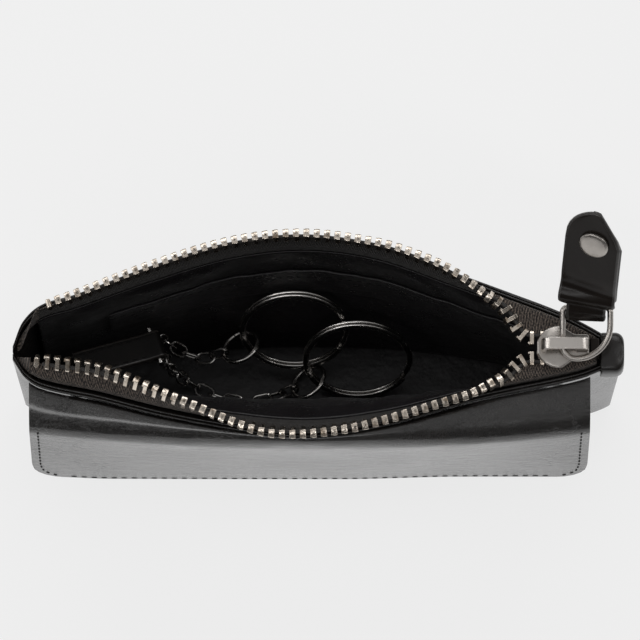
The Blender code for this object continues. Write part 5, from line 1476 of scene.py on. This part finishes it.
def add_split_ring(label, centre):
    """Add a split ring of two flat turns, with a jog where one steps to the next; return its upward direction."""
    look = (KEY_RING_DIAMETER - KEY_RING_LOOK_WIDTH) / 2
    pitch = KEY_RING_WIRE + KEY_RING_TURN_GAP
    half_jog = KEY_RING_JOG_STEPS // 2
    fine = 5
    loops = []
    for k in range(half_jog * fine, (2 * KEY_RING_STEPS - half_jog) * fine + 1):
        i = k / fine
        angle = 2 * math.pi * i / KEY_RING_STEPS
        radial = Vector((math.cos(angle), math.sin(angle), 0))
        height = pitch * (ease((i - KEY_RING_STEPS + half_jog) / KEY_RING_JOG_STEPS) - 0.5)
        loops.append([radial * (look + a) + Vector((0, 0, height + b))
                      for a, b in rounded_section(KEY_RING_LOOK_WIDTH, KEY_RING_LOOK_WIRE)])
    up = Vector((0, math.cos(KEY_RING_LEAN), math.sin(KEY_RING_LEAN)))
    name = f"key_ring_{label}"
    add_piece(f"split_ring_{label}", moved(loft(loops), placement(centre, RIGHTWARD, RIGHTWARD.cross(up))), STEEL,
              name, name)
    return up


def add_jump_ring(label, key_centre, up, angle):
    """Add a round wire ring through a split ring; return where and how its chain hooks in."""
    out = RIGHTWARD * math.cos(angle) + up * math.sin(angle)
    tangent = up * math.cos(angle) - RIGHTWARD * math.sin(angle)
    across = tangent.cross(out)
    radius = (JUMP_RING_DIAMETER - JUMP_RING_WIRE) / 2
    mean = (KEY_RING_DIAMETER - KEY_RING_WIRE_WIDTH) / 2
    centre = key_centre + out * (mean + radius - (JUMP_RING_WIRE + KEY_RING_WIRE_WIDTH) / 2 - JUMP_RING_SLACK)
    cut = 70 + 360 * 0.006
    points = [centre + a * out + b * across for a, b in arc(0, 0, radius, cut, cut + 360 * 0.988, 64)]
    name = f"jump_ring_{label}"
    add_piece(f"wire_ring_{label}", wire(points, JUMP_RING_WIRE / 2, 12, False, tangent), STEEL, name, name)
    return centre + out * radius, out, across


def route_points(knots, spacing):
    """Return points at even spacing along a smooth curve through knots."""
    fine = []
    for i in range(len(knots) - 1):
        leave = (knots[i + 1] - knots[max(i - 1, 0)]) / 2
        arrive = (knots[min(i + 2, len(knots) - 1)] - knots[i]) / 2
        fine += [hermite(knots[i], knots[i + 1], leave, arrive, step / 24) for step in range(24)]
    fine.append(knots[-1])
    lengths = distances(fine)
    points = []
    for target in spread(0, lengths[-1], max(round(lengths[-1] / spacing), 1)):
        j = max(k for k in range(len(lengths) - 1) if lengths[k] <= target + 1e-9)
        points.append(fine[j].lerp(fine[j + 1], (target - lengths[j]) / (lengths[j + 1] - lengths[j])))
    return points


def add_chain(label, knots, side, last_normal):
    """Add the links of a chain, each turned a quarter against the last; side is the first link's normal."""
    centres = route_points(knots, LINK_LENGTH - 2 * LINK_WIRE - LINK_SLACK)
    frames = []
    for i, centre in enumerate(centres):
        along = heading(centres, i)
        side = (side - along * side.dot(along)).normalized()
        frames.append((centre, along, side))
    wanted = math.atan2(last_normal.dot(along.cross(side)), last_normal.dot(side))
    quarter = math.pi / 2
    last = len(centres) - 1
    extra = (wanted - last * quarter + quarter) % math.pi - quarter
    for i, (centre, along, side) in enumerate(frames):
        turn = i * quarter + extra * i / last
        add_link(label, i + 1, centre, along, math.cos(turn) * side + math.sin(turn) * along.cross(side))


def add_link(label, number, centre, along, normal):
    """Add one oval link of round wire."""
    straight = (LINK_LENGTH - LINK_WIDTH) / 2
    places = arc(0, 0, (LINK_WIDTH - LINK_WIRE) / 2, 180 / 28, 360 + 180 / 28, 28)[:-1]
    path = [centre + along * (math.copysign(straight, a) + a) + normal.cross(along) * b for a, b in places]
    add_piece(f"oval_{label}_{number}", wire(path, LINK_WIRE / 2, 10, True, normal), STEEL,
              f"chain_{label}_link_{number}", f"chain_{label}")


# Stage, light and camera

def paper():
    """Return a stage paper that glows its own colour to the camera, in mirrors and through glass."""
    made = Finish("floor_paper", None, roughness=0.9, base_color=BACKDROP_GREY)
    rays = made.add("LightPath")
    seen = made.math("MAXIMUM", rays["Is Camera Ray"], rays["Is Glossy Ray"])
    seen = made.math("MULTIPLY", made.math("MAXIMUM", seen, rays["Is Transmission Ray"]), BACKDROP_GLOW)
    glow = made.add("Emission", {"Color": BACKDROP_GREY, "Strength": BACKDROP_STRENGTH})[0]
    mixed = made.add("MixShader", {0: seen, 1: made.shader.outputs[0], 2: glow})[0]
    made.tree.links.new(mixed, made.tree.nodes["Material Output"].inputs["Surface"])
    return made.made


def add_stage():
    """Add the pale floor."""
    data = bpy.data.meshes.new("floor")
    half = FLOOR_SIZE / 2
    data.from_pydata([(-half, -half, 0), (half, -half, 0), (half, half, 0), (-half, half, 0)], [], [(0, 1, 2, 3)])
    data.materials.append(paper())
    floor = bpy.data.objects.new("floor", data)
    floor.location.z = -FLOOR_DROP
    bpy.context.collection.objects.link(floor)


def add_light():
    """Light the pouch with a dim room that is paler overhead, and soft boxes on four sides."""
    world = bpy.data.worlds.new("room")
    bpy.context.scene.world = world
    world.use_nodes = True
    made = Nodes(world.node_tree)
    aim = made.add("SeparateXYZ", {0: made.add("TexCoord")["Generated"]})
    background = made.tree.nodes["Background"].inputs
    background["Color"].default_value = (1.0, 1.0, 1.0, 1.0)
    made.tree.links.new(made.ramp(aim["Z"], *ROOM_RISE, ROOM_LOW, ROOM_HIGH), background["Strength"])
    for name, place, size, power in LIGHTS:
        data = bpy.data.lights.new(name, "AREA")
        data.shape = "RECTANGLE"
        data.size, data.size_y = size
        data.energy = power
        light = bpy.data.objects.new(name, data)
        light.location = place
        light.rotation_euler = (LIGHT_AIM - Vector(place)).to_track_quat("-Z", "Y").to_euler()
        bpy.context.collection.objects.link(light)


def add_camera():
    """Add the camera at the photograph's angle."""
    data = bpy.data.cameras.new("camera")
    data.sensor_width = SENSOR
    data.lens = CAMERA_LENS
    data.clip_end = CAMERA_REACH
    camera = bpy.data.objects.new("camera", data)
    back = Vector((0, -math.cos(CAMERA_ELEVATION), math.sin(CAMERA_ELEVATION)))
    camera.location = CAMERA_TARGET + back * CAMERA_DISTANCE
    camera.rotation_euler = (-back).to_track_quat("-Z", "Y").to_euler()
    bpy.context.collection.objects.link(camera)
    bpy.context.scene.camera = camera


bpy.context.scene.view_settings.view_transform = "Standard"
add_camera()
add_stage()
add_light()
add_body()
add_zip()
add_end_tab()
add_slider()
add_pull()
add_flap()
add_pocket()
add_snap()
add_contents()
